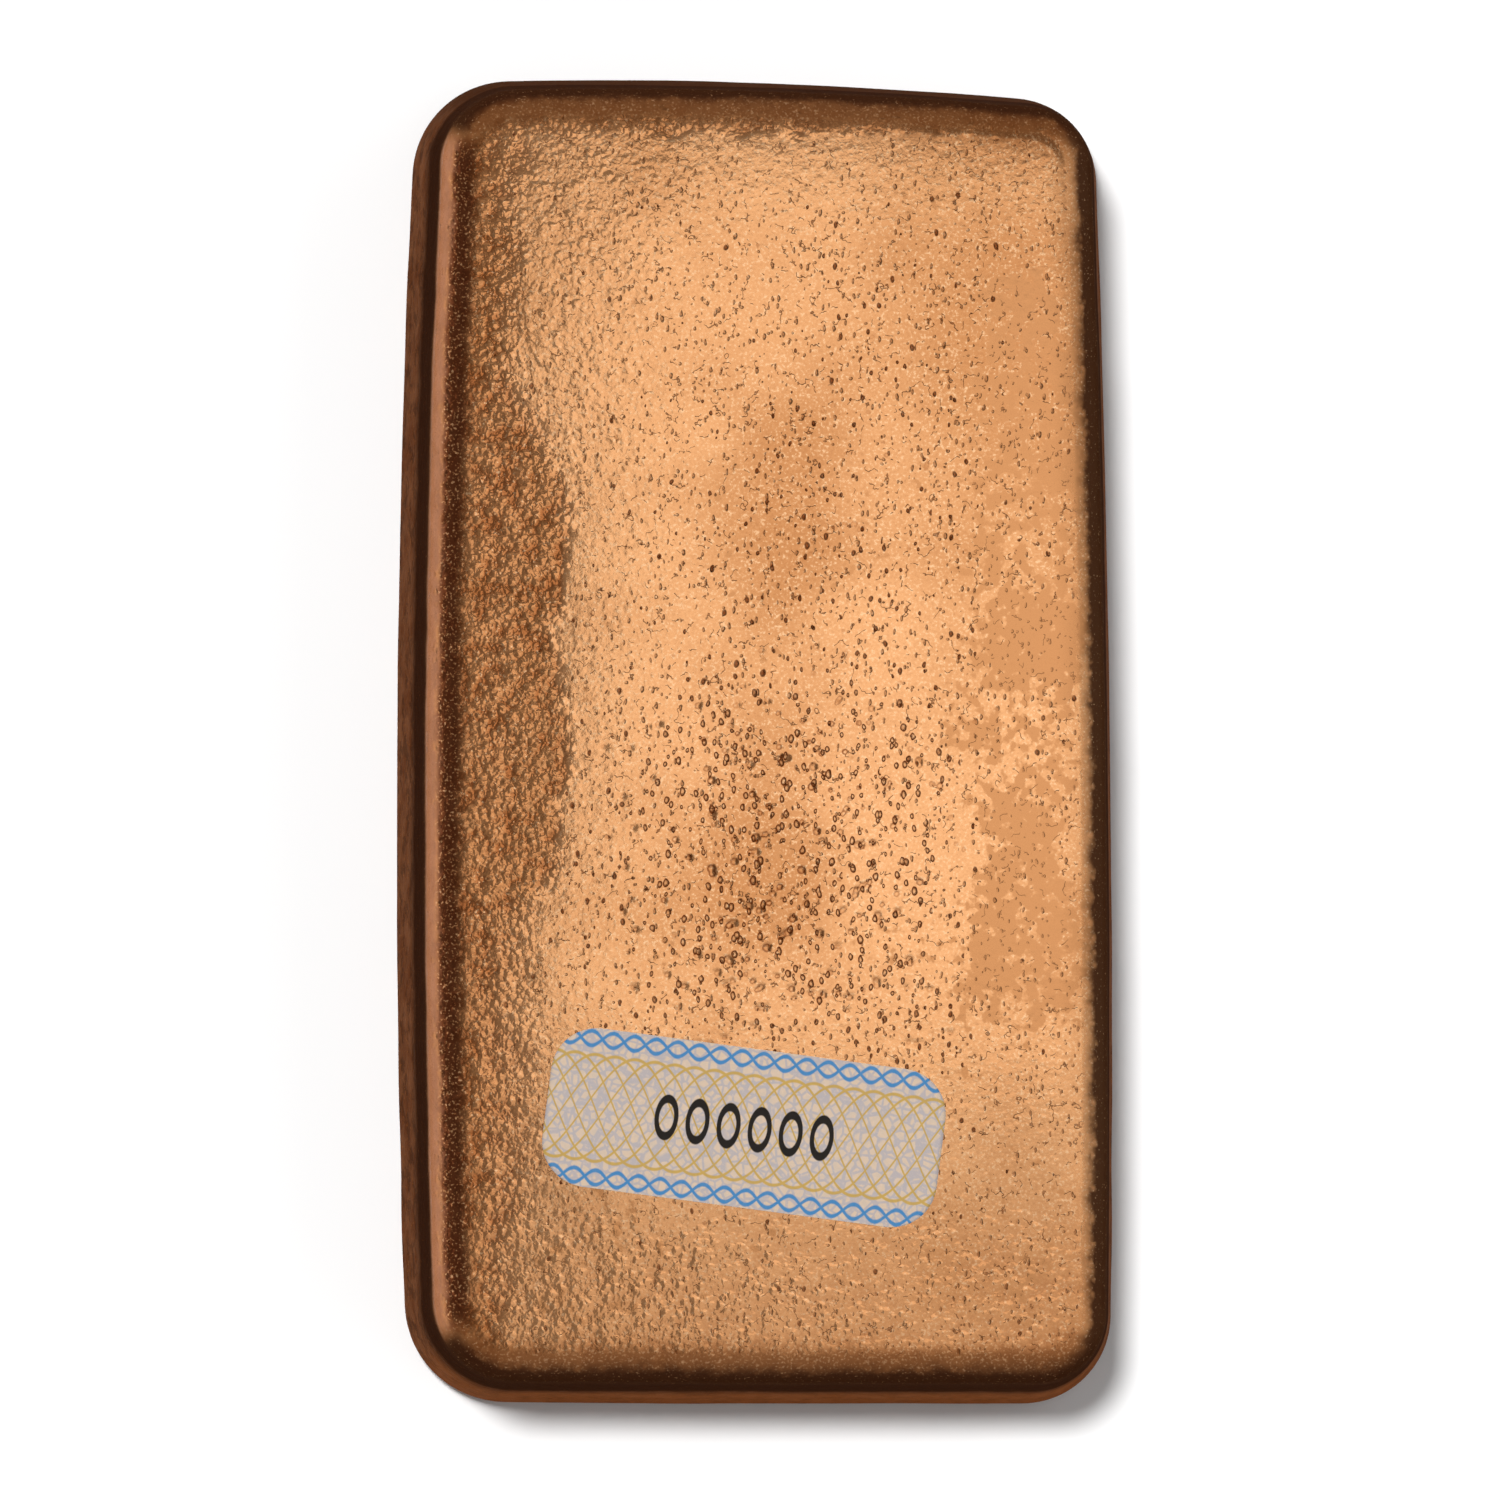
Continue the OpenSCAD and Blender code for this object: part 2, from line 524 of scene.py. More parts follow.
@dataclass(frozen=True)
class Craters:
    """Gas craters of the face: seeded places and radii, densest in the lower middle.

    A candidate is kept by a share: a dense bell, a fainter one above it and a thin scatter.
    """

    seed: int = 7
    candidates: int = 3600
    crowded: Bell = Bell((1.8, -10.5), (14.5, 15.0), 0.36, 4)
    fainter: Bell = Bell((6.5, 19.0), (9.0, 14.0), 0.14)
    scatter: float = 0.012
    clear_right: Ramp = Ramp(19.0, 14.0)
    reach: tuple[float, float, float, float] = (-24.0, 26.0, -50.0, 50.0)
    smallest: float = 0.22
    largest: float = 0.36
    small_bias: float = 1.6
    least_crowd: float = 0.4
    least_rim_shade: float = 0.3
    far: float = 4.0
    batch: int = 40

    def density(self, x: np.ndarray, y: np.ndarray) -> np.ndarray:
        """Share of candidates kept: both bells plus the scatter, faded out by the right side.

        Args:
            x: candidate places across.
            y: candidate places along.

        Returns:
            Shares between 0 and 1.
        """
        share = self.crowded.at(x, y) + self.fainter.at(x, y) + self.scatter
        return share * self.clear_right.at(x)

    def crowd(self, x: np.ndarray, y: np.ndarray) -> np.ndarray:
        """Density as a share of the dense bell's peak."""
        return np.clip(self.density(x, y) / self.crowded.weight, 0.0, 1.0)

    def drawn(self) -> tuple[np.ndarray, np.ndarray, np.ndarray, np.ndarray]:
        """Draws the craters; a radius lies in its range by chance to a power, times the crowd.

        Returns:
            Places across, places along, radii and rim shade of the craters that are kept.
        """
        dice = np.random.default_rng(self.seed)
        x = dice.uniform(self.reach[0], self.reach[1], self.candidates)
        y = dice.uniform(self.reach[2], self.reach[3], self.candidates)
        size, soot_and_shade, luck = dice.uniform(size=(3, self.candidates))
        kept = luck < self.density(x, y)
        crowd = np.maximum(self.crowd(x, y), self.least_crowd)
        radius = self.smallest + (self.largest - self.smallest) * size ** self.small_bias * crowd
        soot_and_shade = (self.least_rim_shade + (1 - self.least_rim_shade) * soot_and_shade) * crowd
        return x[kept], y[kept], radius[kept], soot_and_shade[kept]

    def nearest(self, x: np.ndarray, y: np.ndarray) -> tuple[np.ndarray, np.ndarray, np.ndarray]:
        """Measures every point against every crater, a batch of craters at a time.

        Args:
            x: point places across.
            y: point places along.

        Returns:
            Distance to the nearest crater as a share of its radius, that radius, and its rim shade.
        """
        reach, radius, soot_and_shade = np.full(x.shape, self.far), np.zeros(x.shape), np.zeros(x.shape)
        drawn = np.stack(self.drawn())
        for start in range(0, drawn.shape[1], self.batch):
            cx, cy, cr, cs = drawn[:, start:start + self.batch, None]
            ratio = np.hypot(x[None] - cx, y[None] - cy) / cr
            best = np.argmin(ratio, axis=0)
            value = np.take_along_axis(ratio, best[None], axis=0)[0]
            nearer = value < reach
            reach = np.where(nearer, value, reach)
            radius = np.where(nearer, cr[best, 0], radius)
            soot_and_shade = np.where(nearer, cs[best, 0], soot_and_shade)
        return reach, radius, soot_and_shade


@dataclass(frozen=True)
class PebbleZone:
    """Where the pebbled skin lies: the left, head and foot margins and, faintly, the upper left."""

    wobble: tuple[LatticeNoise, ...] = (LatticeNoise(11, 1.1, 0.55), LatticeNoise(12, 2.9, 0.6))
    middle_above_foot: Ramp = Ramp(-19.0, -8.0)
    middle_below_head: Ramp = Ramp(31.0, 18.0)
    softness: float = 3.6
    sharper_middle: float = 2.9
    sharper_head: Ramp = Ramp(10.0, 30.0, 0.0, 1.2)
    edge: float = -21.5
    wider_middle: float = 4.2
    left: Ramp = Ramp(1.0, -1.0)
    head: Ramp = Ramp(49.5, 50.5, 0.0, 0.6)
    head_wobble: float = 0.6
    foot: Ramp = Ramp(-37.0, -46.0, 0.0, 0.3)
    shoulder_along: Ramp = Ramp(14.0, 34.0, 0.0, 0.10)
    shoulder_across: Ramp = Ramp(-2.0, -18.0)

    def at(self, x: np.ndarray, y: np.ndarray) -> np.ndarray:
        """Weight of the pebbled skin: the greatest of the margins' eases.

        The left margin is widest along the middle. It ends at a ragged line that is sharp there
        and softens towards the foot, and less so towards the head.

        Args:
            x: places across.
            y: places along.

        Returns:
            Weights between 0 and 1.
        """
        wobble = layered(self.wobble, x, y)
        middle = self.middle_above_foot.at(y) * self.middle_below_head.at(y)
        softness = self.softness - self.sharper_middle * middle - self.sharper_head.at(y) * (1 - middle)
        edge = self.edge + self.wider_middle * middle
        margins = [
            self.left.at((x + wobble - edge) / softness),
            self.head.at(y + self.head_wobble * wobble),
            self.foot.at(y + wobble),
            self.shoulder_along.at(y) * self.shoulder_across.at(x),
        ]
        return np.clip(np.maximum.reduce(margins), 0.0, 1.0)


@dataclass(frozen=True)
class CalmZone:
    """Calm patches by the right side: a strip broken up by blotches."""

    blotch: LatticeNoise = LatticeNoise(21, 7.0)
    blotch_squeeze: float = 0.8
    speckle: LatticeNoise = LatticeNoise(22, 3.1, 0.6)
    blotch_weight: float = 0.75
    strip_weight: float = 1.5
    threshold: float = 1.05
    sides: tuple[Ramp, Ramp] = (Ramp(13.0, 19.5), Ramp(27.5, 24.0))
    ends: tuple[Ramp, Ramp] = (Ramp(-27.0, -21.0), Ramp(42.0, 36.0))

    def at(self, x: np.ndarray, y: np.ndarray) -> np.ndarray:
        """Weighted strip less a threshold, plus weighted blotches; the finish cuts it near zero.

        Args:
            x: places across.
            y: places along.

        Returns:
            Field that is positive inside the patches.
        """
        blotch = self.blotch.at(x, y * self.blotch_squeeze) + self.speckle.at(x, y)
        strip = self.sides[0].at(x) * self.sides[1].at(x) * self.ends[0].at(y) * self.ends[1].at(y)
        return self.strip_weight * strip - self.threshold + self.blotch_weight * blotch


@dataclass(frozen=True)
class TarnishAndSheenZone:
    """Broad tarnish and painted sheen of the face: slow noise, clouds of painted dim reflection and, with
    negative weights, spots of painted highlight.
    """

    level: float = 0.16
    slow: tuple[LatticeNoise, ...] = (LatticeNoise(41, 12.0, 0.3), LatticeNoise(42, 5.0, 0.2))
    lower_cloud: Bell = Bell((-0.5, -11.8), (7.5, 6.5), 0.8)
    upper_cloud: Bell = Bell((1.2, 16.1), (5.0, 9.0), 1.0)
    head_cloud: Bell = Bell((3.0, 31.0), (11.0, 13.0), 0.35)
    right_spot: Bell = Bell((12.0, -7.0), (8.0, 20.0), -0.5)
    left_spot: Bell = Bell((-13.0, 24.0), (8.0, 15.0), -0.4)
    corner_across: Ramp = Ramp(6.0, 19.0, 0.0, 0.6)
    corner_along: Ramp = Ramp(-12.0, 34.0)

    def at(self, x: np.ndarray, y: np.ndarray) -> np.ndarray:
        """Sum of the level, noise, painted dim-reflection clouds and painted highlight spots, and a rise
        towards the head-right corner.

        Args:
            x: places across.
            y: places along.

        Returns:
            Tarnish and painted sheen, about 0 where bright and 1 in a cloud.
        """
        corner = self.corner_across.at(x) * self.corner_along.at(y)
        bells = (self.lower_cloud, self.upper_cloud, self.head_cloud, self.right_spot, self.left_spot)
        return self.level + layered(self.slow, x, y) + corner + sum(bell.at(x, y) for bell in bells)


@dataclass(frozen=True)
class CastingRelief:
    """How the poured metal departs from its plain form: zones, waves and pits."""

    craters: Craters = Craters()
    pebbles: PebbleZone = PebbleZone()
    calm: CalmZone = CalmZone()
    tarnish_and_sheen: TarnishAndSheenZone = TarnishAndSheenZone()
    broad_wave: float = 0.018
    skin_wave: float = 0.022
    wall_wave: float = 0.045
    pit_depth: float = 0.26
    broad_noise: LatticeNoise = LatticeNoise(31, 15.0)
    skin_noise: LatticeNoise = LatticeNoise(32, 1.0)
    end_noise: LatticeNoise = LatticeNoise(33, 6.0)
    side_noise: LatticeNoise = LatticeNoise(34, 6.0)
    side_shift: float = 41.0

    def waves(self, places: np.ndarray, upright: np.ndarray, skin: np.ndarray) -> np.ndarray:
        """Inward shift of the surface by waves: long ones everywhere, short ones in rough skin.

        On the face the lattice lies flat, and on the walls two upright lattices are summed, so
        no seam shows round the casting.

        Args:
            places: vertex places in millimetres.
            upright: how far each normal looks straight up or down, 0..1.
            skin: weight of the rough skin.

        Returns:
            Shifts in millimetres, positive inward.
        """
        x, y, z = places.T
        face = (self.broad_wave * (1 + self.broad_noise.at(x, y))
                + self.skin_wave * (1 + skin * self.skin_noise.at(x, y)))
        wall = 1 + self.end_noise.at(x, z) + self.side_noise.at(y + self.side_shift, z)
        return face * upright + self.wall_wave * wall * (1 - upright)

    def bowl(self, reach: np.ndarray, radius: np.ndarray) -> np.ndarray:
        """Depth of the nearest crater: a share of its radius, times the square of 1 less t squared."""
        return self.pit_depth * radius * np.clip(1 - reach ** 2, 0.0, 1.0) ** 2


@dataclass(frozen=True)
class IngotCasting:
    """The poured bar, one closed skin: face grid, wall rings and dished underside."""

    plan: BarPlan = BarPlan()
    wall: WallSection = WallSection()
    relief: CastingRelief = CastingRelief()
    fine: float = 0.22
    coarse: float = 0.46
    face_x: tuple[float, float] = (-26.0, 26.0)
    face_y: tuple[float, float] = (-51.0, 51.0)
    dense_x: tuple[float, float] = (-10.0, 14.0)
    dense_y: tuple[float, float] = (-23.0, 2.0)
    underside_share: int = 3
    underside_inset: float = 1.2
    dish_depth: float = 0.6
    dish_margin: float = 8.0
    rim_batch: int = 40
    level_face: Ramp = Ramp(0.55, 0.98)
    least_level: float = 0.5
    upright: Ramp = Ramp(0.5, 1.0)
    seat: Ramp = Ramp(0.02, 0.6)
    wall_skin: float = 0.6
    calm_drop: float = 3.0
    left_side: Ramp = Ramp(0.82, 0.998)
    end_side: Ramp = Ramp(0.2, 0.9)

    def dish(self, points: np.ndarray) -> np.ndarray:
        """Height of the shrinkage dish: its depth less a parabola across and a parabola along.

        Args:
            points: places on the underside.

        Returns:
            Heights above the resting rim, never below it.
        """
        half_width = self.plan.width / 2 - self.dish_margin
        half_length = self.plan.length / 2 - self.dish_margin
        fall = (points[..., 0] / half_width) ** 2 + (points[..., 1] / half_length) ** 2
        return np.clip(self.dish_depth * (1 - fall), 0.0, None)

    def margin(self, face: np.ndarray, rim: np.ndarray,
               outward: np.ndarray) -> tuple[np.ndarray, np.ndarray]:
        """Measures every face point against every rim point, a batch of rim points at a time.

        Args:
            face: face points in plan.
            rim: rim points in plan.
            outward: outward directions at the rim points.

        Returns:
            Distance to the nearest rim point and the outward direction there.
        """
        nearest, sides = np.full(len(face), np.inf), np.zeros((len(face), 2))
        for start in range(0, len(rim), self.rim_batch):
            gaps = np.hypot(*(face[None] - rim[start:start + self.rim_batch, None]).transpose(2, 0, 1))
            best = np.argmin(gaps, axis=0)
            gap = np.take_along_axis(gaps, best[None], axis=0)[0]
            nearer = gap < nearest
            nearest = np.where(nearer, gap, nearest)
            sides = np.where(nearer[:, None], outward[start + best], sides)
        return nearest, sides

    def plain_form(self) -> tuple[np.ndarray, np.ndarray, np.ndarray, np.ndarray, list[np.ndarray]]:
        """Builds the form before its relief.

        The face is a Coons patch on the rim at the top of the rolled edge. Its rim points go down
        the wall section ring by ring. A strip of triangles and quads joins the last ring to a
        grid of a third of the lines, which carries the dish.

        Returns:
            Vertex places in millimetres, unit normals, outward directions in plan, walks up the
            wall and on over the face, and face arrays.
        """
        offsets, heights, turns, climbs = self.wall.levels()
        across = graded_steps(self.face_x, self.dense_x, self.fine, self.coarse, self.underside_share)
        along = graded_steps(self.face_y, self.dense_y, self.fine, self.coarse, self.underside_share)
        columns, rows = len(across) - 1, len(along) - 1
        rim = self.plan.rim(across, along)
        outward, count = rim.outward(), len(rim.radii)

        face = coons_patch(rim.points(offsets[0]), across, along).reshape(-1, 2)
        inward, face_sides = self.margin(face, rim.points(offsets[0]), outward)
        face = np.column_stack([face, np.full(len(face), heights[0])])
        rings = np.concatenate([np.column_stack([rim.points(u), np.full(count, z)])
                                for u, z in zip(offsets[1:], heights[1:])])
        ring_normals = np.concatenate([np.column_stack([outward * math.cos(a), np.full(count, math.sin(a))])
                                       for a in turns[1:]])
        thin = self.underside_share
        inner = Rim(rim.centres[::thin], rim.radii[::thin], rim.headings[::thin])
        base = coons_patch(inner.points(offsets[-1] - self.underside_inset), across[::thin], along[::thin])
        base = base.reshape(-1, 2)
        base = np.column_stack([base, self.dish(base)])

        places = np.concatenate([face, rings, base])
        up, down = np.array([0.0, 0.0, 1.0]), np.array([0.0, 0.0, -1.0])
        normals = np.concatenate([np.tile(up, (len(face), 1)), ring_normals, np.tile(down, (len(base), 1))])
        wall_sides = np.tile(outward, (len(turns) - 1, 1))
        sides = np.concatenate([face_sides, wall_sides, np.zeros((len(base), 2))])
        walks = np.concatenate([climbs[0] + inward, np.repeat(climbs[1:], count), np.zeros(len(base))])

        ring_numbers = [grid_rim(columns, rows, 0)]
        ring_numbers += [len(face) + k * count + np.arange(count) for k in range(len(turns) - 1)]
        base_first = len(face) + len(rings)
        outer = ring_numbers[-1]
        near = grid_rim(columns // thin, rows // thin, base_first)
        nexts = np.roll(near, -1)
        zero, one, two = outer.reshape(-1, thin).T
        faces = [grid_faces(columns, rows, 0, True)]
        faces += [band_faces(a, b) for a, b in zip(ring_numbers, ring_numbers[1:])]
        faces += [np.stack([zero, near, one], axis=-1), np.stack([one, near, nexts, two], axis=-1),
                  np.stack([two, nexts, np.roll(zero, -1)], axis=-1),
                  grid_faces(columns // thin, rows // thin, base_first, False)]
        return places, normals, sides, walks, faces

    def build(self, finish: bpy.types.Material) -> bpy.types.Object:
        """Shifts the plain form inward by its relief and stores the fields for its finish.

        Args:
            finish: copper material.

        Returns:
            The casting.
        """
        places, normals, sides, walks, faces = self.plain_form()
        x, y, z = places.T
        relief = self.relief
        level = self.level_face.at(normals[:, 2])
        skin = relief.pebbles.at(x, y)
        reach, radius, soot_and_shade = relief.craters.nearest(x, y)
        reach = np.where(level > self.least_level, reach, relief.craters.far)
        upright = self.upright.at(np.abs(normals[:, 2]))
        shift = relief.waves(places, upright, skin) + level * relief.bowl(reach, radius)
        places = places - normals * (shift * self.seat.at(z))[:, None]

        mesh = make_mesh("ingot_casting", places * MM, faces)
        fields = {
            Field.SKIN: np.where(level > 0.0, skin, self.wall_skin),
            Field.PATCH: relief.calm.at(x, y) - self.calm_drop * (1 - level),
            Field.REACH: reach,
            Field.RIM_SHADE: soot_and_shade,
            Field.CROWD: level * relief.craters.crowd(x, y),
            Field.WALK: walks,
            Field.LEFT: self.left_side.at(-sides[:, 0]),
            Field.FOOT: self.end_side.at(-sides[:, 1]),
            Field.HEAD: self.end_side.at(sides[:, 1]),
            Field.TARNISH_AND_SHEEN: relief.tarnish_and_sheen.at(x, y),
        }
        for field, values in fields.items():
            store_field(mesh, field, values)
        return show(mesh, Part.INGOT, finish)


# Shape of the label


@dataclass(frozen=True)
class PaperLabel:
    """Thin printed paper with round corners, pressed on the face a little askew."""

    length: float = 33.0
    height: float = 13.2
    corner: float = 3.8
    turn: float = math.radians(-7.5)
    centre: tuple[float, float] = (-2.1, -32.6)
    seat_level: float = 18.36
    top_level: float = 18.48
    ripple: float = 0.015
    ripple_noise: LatticeNoise = LatticeNoise(51, 4.0)
    flat_edge: Ramp = Ramp(0.0, 1.2)
    columns: int = 90
    rows: int = 38

    def outline_reach(self, v: np.ndarray) -> np.ndarray:
        """Half length of the paper at a height: less by the round corner's sagitta near the edges.

        Args:
            v: heights from the label's middle.

        Returns:
            Half lengths.
        """
        over = np.clip(np.abs(v) - (self.height / 2 - self.corner), 0.0, self.corner)
        return self.length / 2 - self.corner + np.sqrt(np.clip(self.corner ** 2 - over ** 2, 0.0, None))

    def build(self, finish: bpy.types.Material) -> bpy.types.Object:
        """Builds the sheet as two grids, sheared to the round outline, and a rim band.

        Rows follow a sine, so they crowd towards the long edges where the corners turn. Each row
        is stretched to the half length that the outline has there. The upper grid ripples a little.

        Args:
            finish: paper material.

        Returns:
            The label.
        """
        lift = np.sin(np.linspace(-QUARTER_TURN, QUARTER_TURN, self.rows + 1))
        v = np.repeat((lift * self.height / 2)[:, None], self.columns + 1, axis=1)
        u = np.linspace(-1.0, 1.0, self.columns + 1)[None, :] * self.outline_reach(v)
        wave = self.ripple * self.ripple_noise.at(u, v)
        inside = self.flat_edge.at(self.height / 2 - np.abs(v))
        cosine, sine = math.cos(self.turn), math.sin(self.turn)
        x = self.centre[0] + u * cosine - v * sine
        y = self.centre[1] + u * sine + v * cosine
        top = np.stack([x, y, self.top_level - self.ripple + wave * inside], axis=-1).reshape(-1, 3)
        under = np.stack([x, y, np.full_like(x, self.seat_level)], axis=-1).reshape(-1, 3)
        upper_rim = grid_rim(self.columns, self.rows, 0)
        lower_rim = grid_rim(self.columns, self.rows, len(top))
        faces = [grid_faces(self.columns, self.rows, 0, True),
                 grid_faces(self.columns, self.rows, len(top), False), band_faces(upper_rim, lower_rim)]
        mesh = make_mesh("paper_label", np.concatenate([top, under]) * MM, faces)
        flat = np.stack([u, v], axis=-1).reshape(-1, 2)
        layer = mesh.uv_layers.new(name=PRINT_MAP)
        loops = np.empty(len(mesh.loops), dtype=np.int32)
        mesh.loops.foreach_get("vertex_index", loops)
        spread = np.concatenate([flat, flat])[loops] / self.length + PRINT_MIDDLE
        layer.data.foreach_set("uv", spread.ravel())
        return show(mesh, Part.LABEL, finish)


# Node helpers and shared effects


@dataclass(frozen=True)
class Noise:
    """Fractal noise of a material: size of its coarsest grain and octaves beyond the first.

    A flat noise reads only the plan coordinates, which is quicker. The gain is its spread once
    it is centred on zero.
    """

    cell: float
    detail: float = 2.0
    flat: bool = False
    gain: float = 1.0


class NodeBench:
    """Short calls that add and join the nodes of one tree."""

    def __init__(self, tree: bpy.types.NodeTree) -> None:
        """Takes the tree to fill."""
        self.tree = tree

    def feed(self, socket: bpy.types.NodeSocket, value: Feed) -> None:
        """Links a socket into another, or sets its plain value.

        Args:
            socket: input that is fed.
            value: output or plain value that goes in.
        """
        if isinstance(value, bpy.types.NodeSocket):
            self.tree.links.new(value, socket)
        else:
            socket.default_value = value

    def add(self, kind: str, feeds: dict[str | int, Feed] | None = None,
            **settings: object) -> bpy.types.Node:
        """Adds a node.

        Args:
            kind: Blender's name of the node type.
            feeds: what goes into its sockets, by name or number.
            settings: its other properties.

        Returns:
            The node.
        """
        node = self.tree.nodes.new(kind)
        for name, value in settings.items():
            setattr(node, name, value)
        for key, value in (feeds or {}).items():
            self.feed(node.inputs[key], value)
        return node

    def calc(self, operation: str, *values: Feed) -> bpy.types.NodeSocket:
        """One Math node on the given values."""
        return self.add("ShaderNodeMath", dict(enumerate(values)), operation=operation).outputs[0]

    def total(self, *values: Feed) -> bpy.types.NodeSocket:
        """Sum of several values, as a row of Math nodes."""
        return reduce(lambda so_far, value: self.calc("ADD", so_far, value), values)

    def times(self, *values: Feed) -> bpy.types.NodeSocket:
        """Product of several values, as a row of Math nodes."""
        return reduce(lambda so_far, value: self.calc("MULTIPLY", so_far, value), values)

    def line(self, value: Feed, gain: Feed, offset: Feed) -> bpy.types.NodeSocket:
        """Straight line: a value times a gain, plus an offset."""
        return self.calc("MULTIPLY_ADD", value, gain, offset)

    def ease(self, value: Feed, ramp: Ramp, high: Feed | None = None) -> bpy.types.NodeSocket:
        """Smooth step of a value along a ramp.

        Args:
            value: what is eased.
            ramp: its ends and results.
            high: result above the end, in place of the ramp's own.

        Returns:
            The eased value.
        """
        feeds = {"Value": value, "From Min": ramp.start, "From Max": ramp.end, "To Min": ramp.low,
                 "To Max": ramp.high if high is None else high}
        return self.add("ShaderNodeMapRange", feeds, interpolation_type="SMOOTHSTEP").outputs[0]

    def band(self, value: Feed, first: Ramp, second: Ramp) -> bpy.types.NodeSocket:
        """Product of two opposite eases of one value, high between them."""
        return self.times(self.ease(value, first), self.ease(value, second))

    def noise_node(self, place: Feed, noise: Noise) -> bpy.types.Node:
        """Noise Texture node, with a value round 0.5 and a colour."""
        feeds = {"Vector": place, "Scale": 1.0 / noise.cell, "Detail": noise.detail}
        return self.add("ShaderNodeTexNoise", feeds, noise_dimensions="2D" if noise.flat else "3D")

    def noise(self, place: Feed, noise: Noise) -> bpy.types.NodeSocket:
        """Value of a noise, round 0.5."""
        return self.noise_node(place, noise).outputs[0]

    def swing(self, place: Feed, noise: Noise) -> bpy.types.NodeSocket:
        """Noise centred on zero: its value times its gain, less half the gain."""
        return self.line(self.noise(place, noise), noise.gain, -noise.gain / 2)

    def stretched(self, place: Feed, scale: tuple[float, ...], turn: float = 0.0) -> bpy.types.NodeSocket:
        """Coordinates scaled, and turned about the upright axis."""
        feeds = {"Vector": place, "Rotation": (0.0, 0.0, turn), "Scale": scale}
        return self.add("ShaderNodeMapping", feeds).outputs[0]

    def tint(self, share: Feed, base: Feed, other: Feed) -> bpy.types.NodeSocket:
        """Blend of two colours."""
        return self.add("ShaderNodeMix", {0: share, 6: base, 7: other}, data_type="RGBA").outputs[2]

    def field(self, field: Field) -> bpy.types.NodeSocket:
        """One of the casting's vertex fields."""
        return self.add("ShaderNodeAttribute", attribute_name=field.value).outputs["Fac"]

    def millimetres(self) -> bpy.types.NodeSocket:
        """Object coordinates in millimetres."""
        place = self.add("ShaderNodeTexCoord").outputs["Object"]
        return self.add("ShaderNodeVectorMath", {0: place, "Scale": PER_MM}, operation="SCALE").outputs[0]


class Effect:
    """A shader node group with named sockets, built once and placed where it is needed."""

    name = "effect"
    takes: dict[str, tuple[str, float]] = {}
    gives: tuple[str, ...] = ()

    def fill(self, bench: NodeBench, given: bpy.types.Node) -> dict[str, bpy.types.NodeSocket]:
        """Adds the group's nodes and names its results."""
        raise NotImplementedError

    def tree(self) -> bpy.types.NodeTree:
        """Builds the group, or finds the one already built.

        Returns:
            The group's tree.
        """
        found = bpy.data.node_groups.get(self.name)
        if found:
            return found
        group = bpy.data.node_groups.new(self.name, "ShaderNodeTree")
        for name, (kind, value) in self.takes.items():
            socket = group.interface.new_socket(name, in_out="INPUT", socket_type=kind)
            if kind == "NodeSocketFloat":
                socket.default_value = value
        for name in self.gives:
            group.interface.new_socket(name, in_out="OUTPUT", socket_type="NodeSocketFloat")
        bench = NodeBench(group)
        results = self.fill(bench, bench.add("NodeGroupInput"))
        bench.add("NodeGroupOutput", results)
        return group

    def place(self, bench: NodeBench, **feeds: Feed) -> dict[str, bpy.types.NodeSocket]:
        """Places the group in a tree.

        Args:
            bench: tree that uses it.
            feeds: its inputs by name.

        Returns:
            Its outputs by name.
        """
        node = bench.add("ShaderNodeGroup", node_tree=self.tree())
        for name, value in feeds.items():
            bench.feed(node.inputs[name], value)
        return {name: node.outputs[name] for name in self.gives}


class PebbleSkin(Effect):
    """Pebbled casting skin: round domes of uneven height and fine grains on slow swells."""

    name = "pebble skin"
    takes = {"Place": ("NodeSocketVector", 0.0)}
    gives = ("Height",)
    swell = Noise(1.5, 0.0, gain=1.5)
    grain = Noise(0.42, 1.0, gain=0.9)
    cell = 0.72
    dome = Ramp(0.66, 0.06, -0.2)
    dome_top = Ramp(0.1, 0.8, -0.1, 0.6)

    def fill(self, bench: NodeBench, given: bpy.types.Node) -> dict[str, bpy.types.NodeSocket]:
        """Height is a dome on each Voronoi cell, with a top of its own, plus grains and a swell.

        Args:
            bench: the group's tree.
            given: its input node.

        Returns:
            The height.
        """
        place = given.outputs["Place"]
        cells = bench.add("ShaderNodeTexVoronoi", {"Vector": place, "Scale": 1.0 / self.cell})
        chances = bench.add("ShaderNodeSeparateColor", {0: cells.outputs["Color"]})
        top = bench.ease(chances.outputs[2], self.dome_top)
        dome = bench.ease(cells.outputs["Distance"], self.dome, high=top)
        return {"Height": bench.total(dome, bench.swing(place, self.grain), bench.swing(place, self.swell))}


